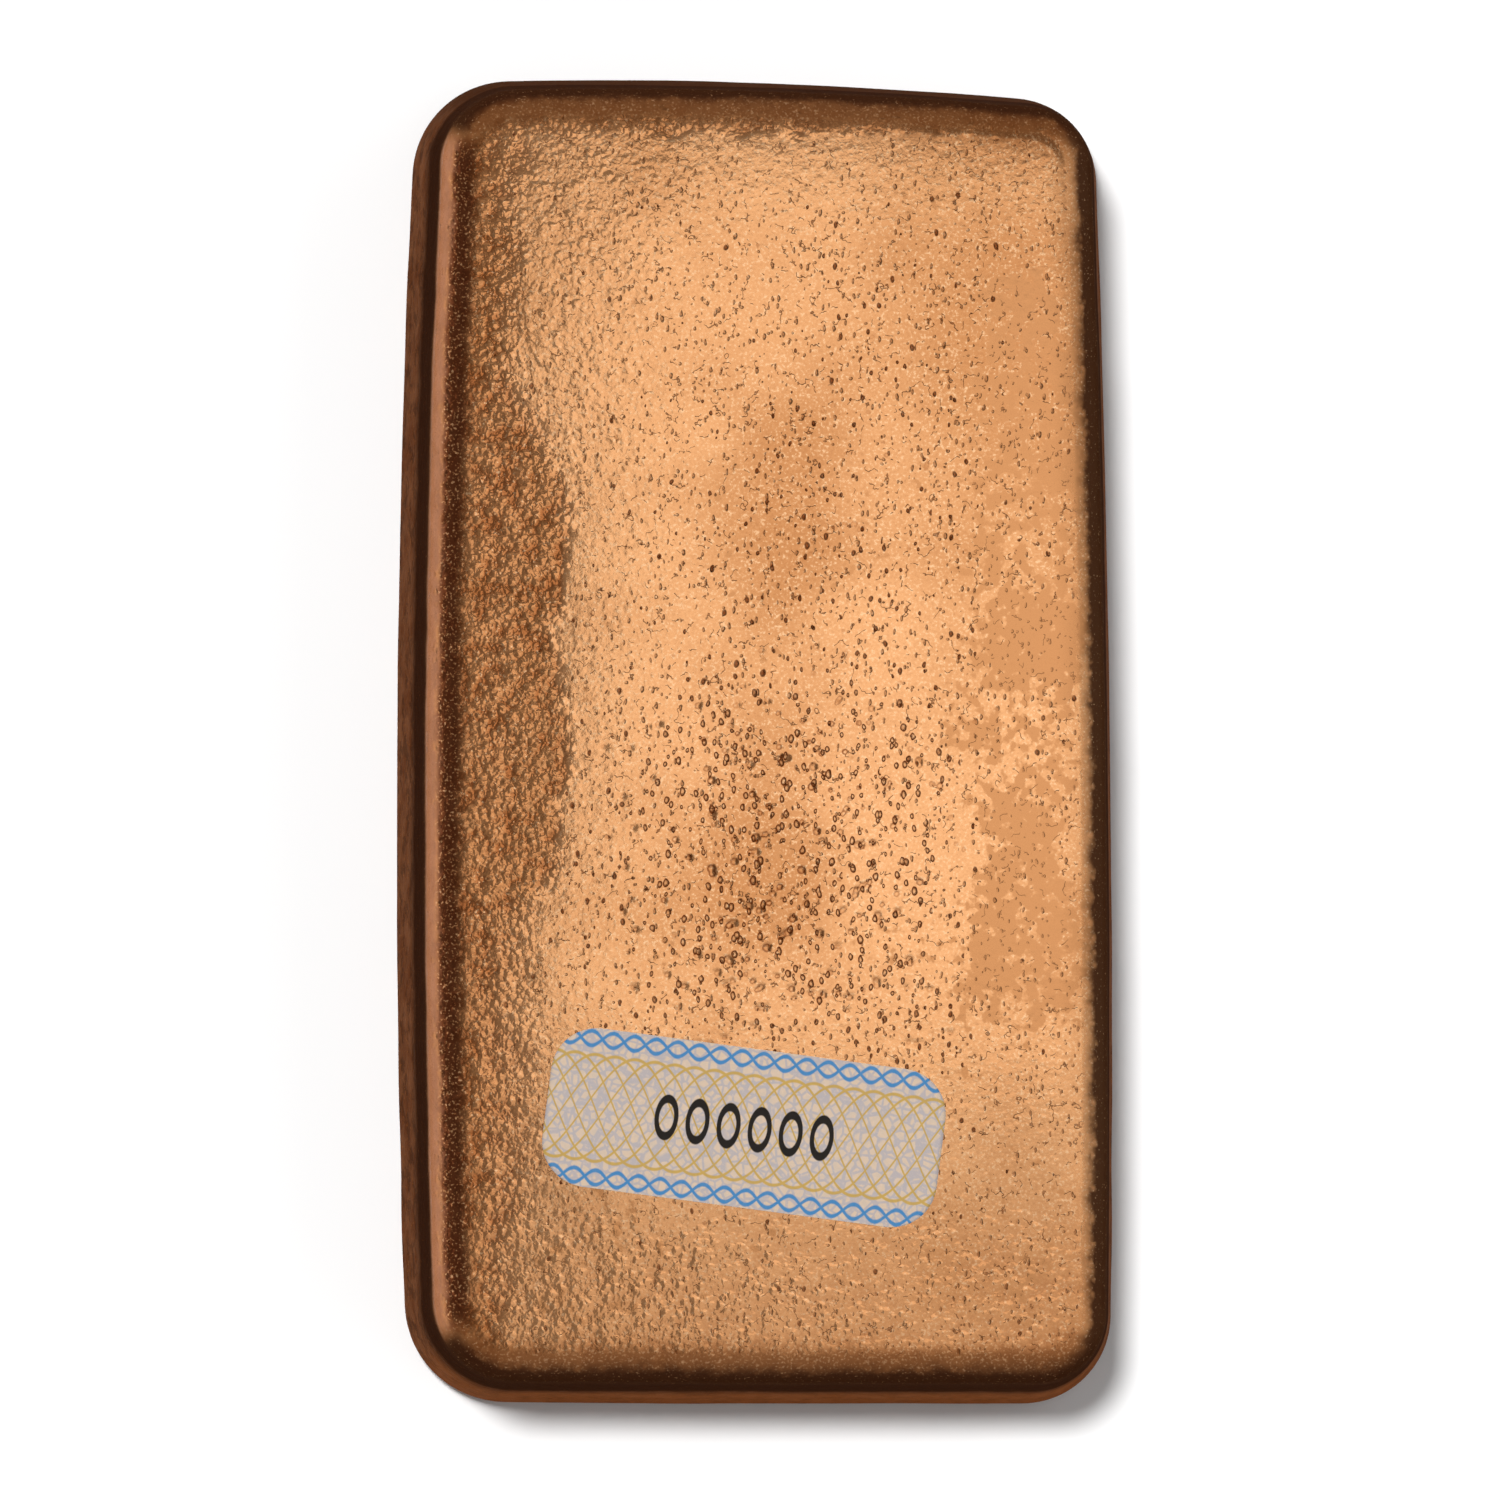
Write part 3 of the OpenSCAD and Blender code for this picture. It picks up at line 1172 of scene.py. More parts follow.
class GasPits(Effect):
    """Small open pits: cells of a Voronoi pattern, each with its own width, only a share kept."""

    name = "gas pits"
    takes = {"Place": ("NodeSocketVector", 0.0), "Spacing": ("NodeSocketFloat", 1.0),
             "Width": ("NodeSocketFloat", 0.3), "Share": ("NodeSocketFloat", 0.7)}
    gives = ("Pit", "Rim")
    shuffle = 37.0
    width_spread = 0.62
    least_width = 0.38
    bowl = Ramp(1.0, 0.35)
    rim_outer = Ramp(1.15, 0.95)
    rim_inner = Ramp(0.5, 0.8)

    def fill(self, bench: NodeBench, given: bpy.types.Node) -> dict[str, bpy.types.NodeSocket]:
        """Pit eases from 1 at a kept cell's point to 0 at its width, and Rim is high near it.

        Args:
            bench: the group's tree.
            given: its input node.

        Returns:
            The pit and its rim.
        """
        scale = bench.calc("DIVIDE", 1.0, given.outputs["Spacing"])
        cells = bench.add("ShaderNodeTexVoronoi", {"Vector": given.outputs["Place"], "Scale": scale},
                          voronoi_dimensions="2D")
        chance = bench.add("ShaderNodeSeparateColor", {0: cells.outputs["Color"]}).outputs[2]
        spread = bench.calc("FRACT", bench.times(chance, self.shuffle))
        width = bench.times(bench.line(spread, self.width_spread, self.least_width), given.outputs["Width"])
        kept = bench.calc("LESS_THAN", chance, given.outputs["Share"])
        reach = bench.calc("DIVIDE", cells.outputs["Distance"], width)
        return {"Pit": bench.times(bench.ease(reach, self.bowl), kept),
                "Rim": bench.times(bench.band(reach, self.rim_outer, self.rim_inner), kept)}


class FlowCracks(Effect):
    """Short curved cracks: thin contour lines of a noise, broken up by another."""

    name = "flow cracks"
    takes = {"Place": ("NodeSocketVector", 0.0), "Cell": ("NodeSocketFloat", 3.0)}
    gives = ("Crack",)
    octaves = 3.0
    middle = 0.5
    thin = Ramp(0.012, 0.003)
    breaks = Noise(0.8, 1.0, flat=True)
    unbroken = Ramp(0.54, 0.62)

    def fill(self, bench: NodeBench, given: bpy.types.Node) -> dict[str, bpy.types.NodeSocket]:
        """Crack is high where the first noise is near its middle and the second is high.

        Args:
            bench: the group's tree.
            given: its input node.

        Returns:
            The crack.
        """
        place = given.outputs["Place"]
        scale = bench.calc("DIVIDE", 1.0, given.outputs["Cell"])
        feeds = {"Vector": place, "Scale": scale, "Detail": self.octaves}
        contour = bench.add("ShaderNodeTexNoise", feeds, noise_dimensions="2D").outputs[0]
        away = bench.calc("ABSOLUTE", bench.calc("SUBTRACT", contour, self.middle))
        unbroken = bench.ease(bench.noise(place, self.breaks), self.unbroken)
        return {"Crack": bench.times(bench.ease(away, self.thin), unbroken)}


# Finishes


def new_material(name: str) -> tuple[bpy.types.Material, NodeBench, bpy.types.Node]:
    """Starts a material with an empty tree and a joined Principled shader.

    Args:
        name: name of the material.

    Returns:
        The material, its bench and its shader.
    """
    material = bpy.data.materials.new(name)
    material.use_nodes = True
    material.node_tree.nodes.clear()
    bench = NodeBench(material.node_tree)
    shader = bench.add("ShaderNodeBsdfPrincipled")
    bench.add("ShaderNodeOutputMaterial", {"Surface": shader.outputs[0]})
    return material, bench, shader


@dataclass(frozen=True)
class PitPattern:
    """Spacing, width and kept share of one pattern of gas pits."""

    spacing: float
    width: float
    share: float


@dataclass(frozen=True)
class CopperFinish:
    """Raw poured copper: bright face, brown pebbled skin, dark scale on the walls, with painted shade and
    painted highlights in several colours.

    Ramps on the walls and the rolled edge are walks up from the underside, in millimetres.
    """

    bright: tuple[float, ...] = (0.87, 0.43, 0.187, 1.0)
    # Painted highlight: pale flecks on the face and sparks on the pebbled skin.
    highlight_fleck: tuple[float, ...] = (1.0, 0.63, 0.35, 1.0)
    dull: tuple[float, ...] = (0.63, 0.275, 0.104, 1.0)
    calm: tuple[float, ...] = (0.655, 0.295, 0.116, 1.0)
    # Pebble colours paint shade and highlight: dark red in the hollows, golden on the tops.
    hollow_shade: tuple[float, ...] = (0.40, 0.118, 0.028, 1.0)
    pebble: tuple[float, ...] = (0.65, 0.274, 0.100, 1.0)
    # Soot in the pits and cracks, and painted shade on the crater lips and ring rims.
    soot_and_shade: tuple[float, ...] = (0.16, 0.028, 0.002, 1.0)
    # Dark oxide scale, placed and shaped as painted shade where the walls and rolled edge would reflect
    # dark surroundings.
    scale: tuple[float, ...] = (0.027, 0.0085, 0.004, 1.0)
    # Wall stain: rusty oxide, darkened as painted shade in place of the wall's dark reflections.
    wall: tuple[float, ...] = (0.175, 0.065, 0.028, 1.0)
    rust_shade: tuple[float, ...] = (0.115, 0.034, 0.012, 1.0)
    # Painted shade on the rolled edge; on the wall the same colour makes painted glints.
    brown_shade_and_glint: tuple[float, ...] = (0.42, 0.140, 0.034, 1.0)
    # Painted shade in the fold along the left side.
    crease_shade: tuple[float, ...] = (0.125, 0.030, 0.011, 1.0)
    # Painted shade on the rolled edge at the head and foot ends.
    end_shade: tuple[float, ...] = (0.26, 0.075, 0.018, 1.0)
    # Painted warm reflection on the sloping flanks of the crater bowls.
    flank_reflection: tuple[float, ...] = (0.50, 0.14, 0.022, 1.0)
    # Painted highlight: the rosy stripe along the left edge.
    rosy: tuple[float, ...] = (0.44, 0.195, 0.105, 1.0)
    glance: tuple[float, ...] = (0.70, 0.53, 0.44, 1.0)

    slow_wander: Noise = Noise(4.5, 1.0, gain=1.7)
    quick_wander: Noise = Noise(0.9, 1.0, gain=0.7)
    less_wander: float = 0.55
    bend: Noise = Noise(0.7, 1.0, flat=True)
    bend_reach: float = 0.22
    fine_grain: Noise = Noise(0.22)
    patch_edge: Noise = Noise(1.2, 4.0, flat=True, gain=3.6)
    patch_cut: Ramp = Ramp(-0.1, 0.3)
    patch_hides: float = 0.55
    skin_hides: float = 0.4
    face_start: Ramp = Ramp(20.0, 21.1)

    lean: float = math.radians(-20.0)
    tick_stretch: float = 0.5
    dot_stretch: float = 0.66
    ticks: PitPattern = PitPattern(0.62, 0.27, 0.36)
    specks: PitPattern = PitPattern(0.85, 0.21, 0.36)
    dot_spacing: float = 0.80
    dot_width: Ramp = Ramp(0.3, 0.9, 0.25, 0.31)
    dot_share: float = 0.62
    least_dot_share: float = 0.03
    crack_cell: float = 1.9
    lip_outer: Ramp = Ramp(1.18, 0.95)
    lip_inner: Ramp = Ramp(0.5, 0.8)
    flank_outer: Ramp = Ramp(1.1, 0.9)
    flank_inner: Ramp = Ramp(0.1, 0.5)

    tick_depth: float = 0.028
    dot_depth: float = 0.06
    speck_depth: float = 0.020
    crack_depth: float = 0.028
    peel_height: float = 0.085
    least_peel: float = 0.004
    grain_height: float = 0.0025
    least_grain: float = 0.0005

    dull_rise: Ramp = Ramp(-0.2, 1.0)
    highlight_fleck_grain: Ramp = Ramp(0.52, 0.73, 0.0, 0.75)
    shaded_cobble_rise: Ramp = Ramp(-0.5, 0.12)
    shaded_cobble_cover: float = 0.85
    highlight_spark_grain: Ramp = Ramp(0.62, 0.72, 0.0, 0.7)
    flank_reflection_share: float = 0.15
    # Painted shade on the crater lips and ring rims.
    lip_shade: float = 0.75
    ring_shade: Ramp = Ramp(0.3, 0.9, 0.45, 0.95)
    dot_dirt: Ramp = Ramp(0.3, 0.9, 0.85, 0.15)
    crack_dirt: float = 0.6
    speck_dirt: float = 0.35
    tick_dirt: float = 0.5
    grain_dirt: Ramp = Ramp(0.5, 0.3, 0.0, 0.13)
    most_darkening: float = 0.92

    lump_reach: float = 0.45
    head_lift: float = 0.2
    roll: Ramp = Ramp(22.8, 20.2)
    roll_shade: float = 0.06
    end_roll_shade: float = 0.20
    fold_lower: Ramp = Ramp(18.6, 19.1)
    fold_upper: Ramp = Ramp(22.0, 20.3)
    fold_cover: float = 0.92
    fold_grain: Ramp = Ramp(0.63, 0.56, 0.2, 1.0)
    wall_foot: Ramp = Ramp(0.2, 1.8)
    wall_top: Ramp = Ramp(16.8, 14.8)
    streak_squeeze: float = 0.7
    wall_mottle: Noise = Noise(1.9, 3.0)
    mottle_cut: Ramp = Ramp(0.30, 0.68)
    wall_hollow_shade: Ramp = Ramp(-0.05, -0.45, 0.0, 0.55)
    wall_glints: Ramp = Ramp(0.60, 0.72, 0.0, 0.55)
    glint_lower: Ramp = Ramp(15.4, 16.9)
    glint_upper: Ramp = Ramp(19.5, 18.1)
    glint_mottle: float = 0.2
    end_shade_edge: Ramp = Ramp(22.4, 20.4, 0.0, 0.6)
    end_shade_grain: Ramp = Ramp(0.64, 0.52, 0.25, 1.0)
    left_scale_shade: Ramp = Ramp(17.3, 15.8)
    right_scale_shade: Ramp = Ramp(20.6, 19.2)
    end_scale_shade: Ramp = Ramp(21.4, 18.4)
    scale_shade_foot: Ramp = Ramp(8.2, 11.8)
    head_scale_shade: float = 0.85
    scale_shade_grain: Ramp = Ramp(0.64, 0.74, 0.96, 0.74)

    wall_crust: float = 0.72
    crust_metal: Ramp = Ramp(0.0, 1.0, 1.0, 0.12)
    grain_rough: float = 0.08
    least_rough: float = 0.06
    patch_rough: float = 0.05
    roll_rough: float = 0.14
    skin_rough: float = 0.06
    crust_rough: float = 0.3

    def material(self) -> bpy.types.Material:
        """Builds the copper: layers of colour, and the bump, metal and roughness that go with them.

        Returns:
            The material.
        """
        material, bench, shader = new_material("poured copper")
        layers = CopperLayers(self, bench)
        bump = bench.add("ShaderNodeBump", {"Height": layers.height(), "Distance": MM, "Strength": 1.0})
        base = layers.darkened_marks(layers.face_colour())
        base = layers.rolled_edge(base)
        base = layers.stained_and_shaded_wall(base)
        base = layers.scaled_and_shaded(base)
        crust = layers.crust()
        feeds = {"Base Color": base, "Metallic": bench.ease(crust, self.crust_metal),
                 "Roughness": layers.roughness(crust), "Normal": bump.outputs[0],
                 "Specular IOR Level": 0.0, "Specular Tint": self.glance}
        for name, value in feeds.items():
            bench.feed(shader.inputs[name], value)
        return material


class CopperLayers:
    """Masks, marks and colours of the copper, worked out in one tree from the casting's fields."""

    def __init__(self, finish: CopperFinish, bench: NodeBench) -> None:
        """Makes the masks and marks that the layers share.

        Args:
            finish: colours and amounts.
            bench: tree to fill.
        """
        self.finish, self.bench = finish, bench
        self.place = bench.millimetres()
        self.fields = {field: bench.field(field) for field in Field}
        self.skin, self.left = self.fields[Field.SKIN], self.fields[Field.LEFT]
        self.head, self.foot = self.fields[Field.HEAD], self.fields[Field.FOOT]
        self.right = bench.calc("SUBTRACT", 1.0, self.left)
        self.grain = bench.noise(self.place, finish.fine_grain)
        self.make_masks()
        self.make_marks()
        self.make_edges()

    def make_masks(self) -> None:
        """Masks: the wandering walk, the calm patches, the face, and how clear it is of both skins."""
        finish, bench = self.finish, self.bench
        climb = self.fields[Field.WALK]
        wander = bench.total(bench.swing(self.place, finish.slow_wander),
                             bench.swing(self.place, finish.quick_wander))
        self.walk = bench.calc("ADD", climb, wander)
        self.upper = bench.line(wander, -finish.less_wander, self.walk)
        ragged = bench.swing(self.place, finish.patch_edge)
        self.patch = bench.ease(bench.calc("ADD", self.fields[Field.PATCH], ragged), finish.patch_cut)
        bare = bench.line(self.skin, -finish.skin_hides, 1.0)
        self.clear = bench.line(self.patch, -finish.patch_hides, bare)
        self.face = bench.ease(climb, finish.face_start)
        self.above = bench.ease(climb, finish.wall_foot)

    def make_marks(self) -> None:
        """Marks: pebbles, ticks, dots and specks on coordinates bent by a noise, and plain cracks."""
        finish, bench = self.finish, self.bench
        push = bench.noise_node(self.place, finish.bend).outputs[1]
        feeds = {0: push, 1: (finish.bend_reach,) * 3, 2: self.place}
        bent = bench.add("ShaderNodeVectorMath", feeds, operation="MULTIPLY_ADD").outputs[0]
        self.pebble = PebbleSkin().place(bench, Place=bent)["Height"]
        tick_place = bench.stretched(bent, (1.0, finish.tick_stretch, 1.0), finish.lean)
        dot_place = bench.stretched(bent, (1.0, finish.dot_stretch, 1.0), finish.lean)
        self.ticks = self.pits(tick_place, finish.ticks)
        self.specks = self.pits(bent, finish.specks)
        self.dense = self.fields[Field.CROWD]
        self.dots = GasPits().place(
            bench, Place=dot_place, Spacing=finish.dot_spacing,
            Width=bench.ease(self.dense, finish.dot_width),
            Share=bench.line(self.dense, finish.dot_share, finish.least_dot_share))
        self.cracks = FlowCracks().place(bench, Place=self.place, Cell=finish.crack_cell)["Crack"]

    def make_edges(self) -> None:
        """Edges: lumpy walks up the wall, the rolled edge, the low wall, its mottle, the left glint, which
        is a painted highlight, and the band of dark scale, which is also painted shade.
        """
        finish, bench = self.finish, self.bench
        self.lumpy = bench.line(self.pebble, finish.lump_reach, self.upper)
        self.ends = bench.line(self.head, finish.head_lift, self.lumpy)
        self.tips = bench.times(bench.calc("ADD", self.head, self.foot), self.right)
        self.roll = bench.ease(self.upper, finish.roll)
        self.low_wall = bench.times(bench.ease(self.walk, finish.wall_top), self.above)
        streaks = bench.stretched(self.place, (1.0, 1.0, finish.streak_squeeze))
        self.mottle = bench.ease(bench.noise(streaks, finish.wall_mottle), finish.mottle_cut)
        # Painted highlight: bare rosy metal along the left edge only, where the left lamp's reflection
        # shows.
        self.painted_glint = bench.times(bench.band(self.lumpy, finish.glint_lower, finish.glint_upper), self.left)
        plain_right = bench.calc("SUBTRACT", self.right, self.tips)
        reach_up = bench.total(
            bench.times(self.left, bench.ease(self.upper, finish.left_scale_shade)),
            bench.times(plain_right, bench.ease(self.lumpy, finish.right_scale_shade)),
            bench.times(self.tips, bench.ease(self.ends, finish.end_scale_shade)))
        reach_down = bench.calc("MAXIMUM", bench.ease(self.walk, finish.scale_shade_foot),
                                bench.times(self.head, finish.head_scale_shade))
        # Band of dark scale and painted shade, with windows that differ from side to side.
        self.scale = bench.times(reach_down, reach_up)

    def pits(self, place: Feed, pattern: PitPattern) -> bpy.types.NodeSocket:
        """One pattern of gas pits, without its rims."""
        return GasPits().place(self.bench, Place=place, Spacing=pattern.spacing, Width=pattern.width,
                               Share=pattern.share)["Pit"]

    def height(self) -> bpy.types.NodeSocket:
        """Height of the bump: the pebbles where the skin is rough and the grain, less the marks.

        Returns:
            The height in millimetres.
        """
        finish, bench = self.finish, self.bench
        flaws = bench.total(bench.times(self.ticks, finish.tick_depth),
                            bench.times(self.dots["Pit"], finish.dot_depth),
                            bench.times(self.specks, finish.speck_depth),
                            bench.times(self.cracks, finish.crack_depth))
        flaws = bench.times(flaws, self.clear, self.face)
        peel = bench.times(self.pebble, bench.line(self.skin, finish.peel_height, finish.least_peel))
        grit = bench.line(self.clear, finish.grain_height, finish.least_grain)
        return bench.line(self.grain, grit, bench.calc("SUBTRACT", peel, flaws))

    def face_colour(self) -> bpy.types.NodeSocket:
        """Colour of the face: tarnish with painted sheen and flecks of painted highlight, then pebbles with
        painted shade and highlights, calm patches and crater flanks with a painted warm reflection.

        Returns:
            The colour.
        """
        finish, bench = self.finish, self.bench
        # Broad tone of the face: random tarnish plus painted dim reflections in the clouds and painted
        # highlights in the spots.
        tarnish_and_sheen = bench.ease(self.fields[Field.TARNISH_AND_SHEEN], finish.dull_rise)
        base = bench.tint(tarnish_and_sheen, finish.bright, finish.dull)
        # Painted highlights: pale flecks on the clear face, then sparks on the pebbled skin.
        highlight_flecks = bench.times(bench.ease(self.grain, finish.highlight_fleck_grain), self.clear)
        base = bench.tint(highlight_flecks, base, finish.highlight_fleck)
        # Painted shade and highlight on the pebbles: dark in the hollows, golden on the tops.
        shaded_cobble = bench.tint(bench.ease(self.pebble, finish.shaded_cobble_rise), finish.hollow_shade, finish.pebble)
        base = bench.tint(bench.times(self.skin, finish.shaded_cobble_cover), base, shaded_cobble)
        highlight_sparks = bench.times(bench.ease(self.grain, finish.highlight_spark_grain), self.skin)
        base = bench.tint(highlight_sparks, base, finish.highlight_fleck)
        base = bench.tint(self.patch, base, finish.calm)
        # Painted warm reflection on the crater flanks.
        flank = bench.band(self.fields[Field.REACH], finish.flank_outer, finish.flank_inner)
        return bench.tint(bench.times(flank, finish.flank_reflection_share), base, finish.flank_reflection)

    def darkened_marks(self, base: Feed) -> bpy.types.NodeSocket:
        """Darkens the marks: soot in the pits, cracks and grain, and painted shade on the crater lips and
        on the rims of the rings in the crater crowd, with filled dots outside it.

        Args:
            base: colour so far.

        Returns:
            The colour with its soot and painted shade.
        """
        finish, bench = self.finish, self.bench
        lip = bench.band(self.fields[Field.REACH], finish.lip_outer, finish.lip_inner)
        # Soot in the pits, cracks and grain; painted shade on the crater lips and the ring rims.
        darkening = bench.total(
            bench.times(lip, self.fields[Field.RIM_SHADE], finish.lip_shade),
            bench.times(self.dots["Rim"], bench.ease(self.dense, finish.ring_shade)),
            bench.times(self.dots["Pit"], bench.ease(self.dense, finish.dot_dirt)),
            bench.times(self.cracks, finish.crack_dirt),
            bench.times(self.specks, finish.speck_dirt),
            bench.times(self.ticks, finish.tick_dirt),
            bench.ease(self.grain, finish.grain_dirt))
        darkening = bench.calc("MINIMUM", bench.times(darkening, self.clear, self.face), finish.most_darkening)
        return bench.tint(darkening, base, finish.soot_and_shade)

    def rolled_edge(self, base: Feed) -> bpy.types.NodeSocket:
        """Paints shade on the rolled edge in brown, most at the two ends, and paints dark shade in the fold
        along the left side.

        Args:
            base: colour so far.

        Returns:
            The colour with its rolled edge.
        """
        finish, bench = self.finish, self.bench
        # Painted shade: the rolled edge browned, most at the two ends.
        head_roll_shade = bench.line(self.head, finish.end_roll_shade, finish.roll_shade)
        brown = bench.line(self.foot, finish.end_roll_shade, head_roll_shade)
        base = bench.tint(bench.times(self.roll, brown), base, finish.brown_shade_and_glint)
        # Painted shade in the fold above the left glint.
        fold_shade = bench.times(bench.band(self.upper, finish.fold_lower, finish.fold_upper),
                           bench.times(self.left, finish.fold_cover))
        return bench.tint(bench.times(fold_shade, bench.ease(self.grain, finish.fold_grain)), base, finish.crease_shade)

    def stained_and_shaded_wall(self, base: Feed) -> bpy.types.NodeSocket:
        """Stains the wall in rust and brown, darkened as painted shade, with painted shade in its hollows
        and painted glints, and adds the left glint, a painted highlight.

        Args:
            base: colour so far.

        Returns:
            The colour with its wall.
        """
        finish, bench = self.finish, self.bench
        # Oxide stain darkened as painted shade, painted shade in the hollows and painted glints on the
        # grain.
        stained_and_shaded = bench.tint(self.mottle, finish.rust_shade, finish.wall)
        stained_and_shaded = bench.tint(bench.ease(self.pebble, finish.wall_hollow_shade), stained_and_shaded, finish.scale)
        stained_and_shaded = bench.tint(bench.ease(self.grain, finish.wall_glints), stained_and_shaded, finish.brown_shade_and_glint)
        base = bench.tint(self.low_wall, base, stained_and_shaded)
        # Painted highlight along the left edge.
        glint_colour = bench.tint(bench.times(self.mottle, finish.glint_mottle), finish.rosy, finish.wall)
        return bench.tint(self.painted_glint, base, glint_colour)

    def scaled_and_shaded(self, base: Feed) -> bpy.types.NodeSocket:
        """Paints shade on the ends of the rolled edge and lays the band of dark scale, which is also
        painted shade, below the rolled edge.

        Args:
            base: colour so far.

        Returns:
            The finished colour.
        """
        finish, bench = self.finish, self.bench
        # Painted shade at the head and foot ends of the rolled edge.
        end_shade = bench.times(self.tips, bench.ease(self.ends, finish.end_shade_edge))
        end_shade = bench.times(end_shade, bench.ease(self.grain, finish.end_shade_grain))
        base = bench.tint(end_shade, base, finish.end_shade)
        # Dark scale and painted shade below the rolled edge.
        scale = bench.times(self.scale, bench.ease(self.grain, finish.scale_shade_grain))
        return bench.tint(scale, base, finish.scale)

    def crust(self) -> bpy.types.NodeSocket:
        """Matt crust: the greater of the dark scale and a part of the wall without its glint."""
        bare_wall = self.bench.calc("SUBTRACT", self.low_wall, self.painted_glint)
        return self.bench.calc("MAXIMUM", self.scale, self.bench.times(bare_wall, self.finish.wall_crust))

    def roughness(self, crust: Feed) -> bpy.types.NodeSocket:
        """Roughness: the grain's, plus a share of each mask.

        Args:
            crust: mask of the matt crust.

        Returns:
            The roughness.
        """
        finish, bench = self.finish, self.bench
        return bench.total(bench.line(self.grain, finish.grain_rough, finish.least_rough),
                           bench.times(self.patch, finish.patch_rough),
                           bench.times(self.roll, finish.roll_rough),
                           bench.times(self.skin, finish.skin_rough),
                           bench.times(crust, finish.crust_rough))


@dataclass(frozen=True)
class Strands:
    """Interlaced strands: equal sine waves, each set on from the last by a part of a turn."""

    swing: float
    wave: float
    count: int
    width: float
    solid: float = 0.4

    def mask(self, bench: NodeBench, u: Feed, v: Feed) -> bpy.types.NodeSocket:
        """High within a line's width of any strand.

        Args:
            bench: tree to fill.
            u: place along the strands.
            v: place across the strands.

        Returns:
            Mask of the lines.
        """
        mask: Feed = 0.0
        for k in range(self.count):
            angle = bench.line(u, FULL_TURN / self.wave, FULL_TURN * k / self.count)
            path = bench.times(bench.calc("SINE", angle), self.swing)
            gap = bench.calc("ABSOLUTE", bench.calc("SUBTRACT", v, path))
            mask = bench.calc("MAXIMUM", mask, bench.ease(gap, Ramp(self.width, self.width * self.solid)))
        return mask


@dataclass(frozen=True)
class Noughts:
    """A row of plain upright noughts."""

    pitch: float = 2.6
    half_width: float = 0.80
    half_height: float = 1.55
    stroke: float = 0.19
    count: int = 6
    outer: float = 1.15
    inner: float = 0.8

    def mask(self, bench: NodeBench, u: Feed, v: Feed) -> bpy.types.NodeSocket:
        """Oval rings that repeat at the pitch, dark within a stroke of the oval.

        Args:
            bench: tree to fill.
            u: place along the row.
            v: place across the row.

        Returns:
            Mask of the ink.
        """
        cell = bench.calc("SUBTRACT", bench.calc("FRACT", bench.calc("DIVIDE", u, self.pitch)), CELL_MIDDLE)
        across = bench.times(cell, self.pitch / self.half_width)
        tall = bench.calc("DIVIDE", v, self.half_height)
        oval = bench.calc("SQRT", bench.calc("ADD", bench.times(across, across), bench.times(tall, tall)))
        gap = bench.times(bench.calc("ABSOLUTE", bench.calc("SUBTRACT", oval, 1.0)), self.half_width)
        ring = bench.ease(gap, Ramp(self.stroke * self.outer, self.stroke * self.inner))
        row = bench.calc("LESS_THAN", bench.calc("ABSOLUTE", u), self.pitch * self.count / 2)
        return bench.times(ring, row)


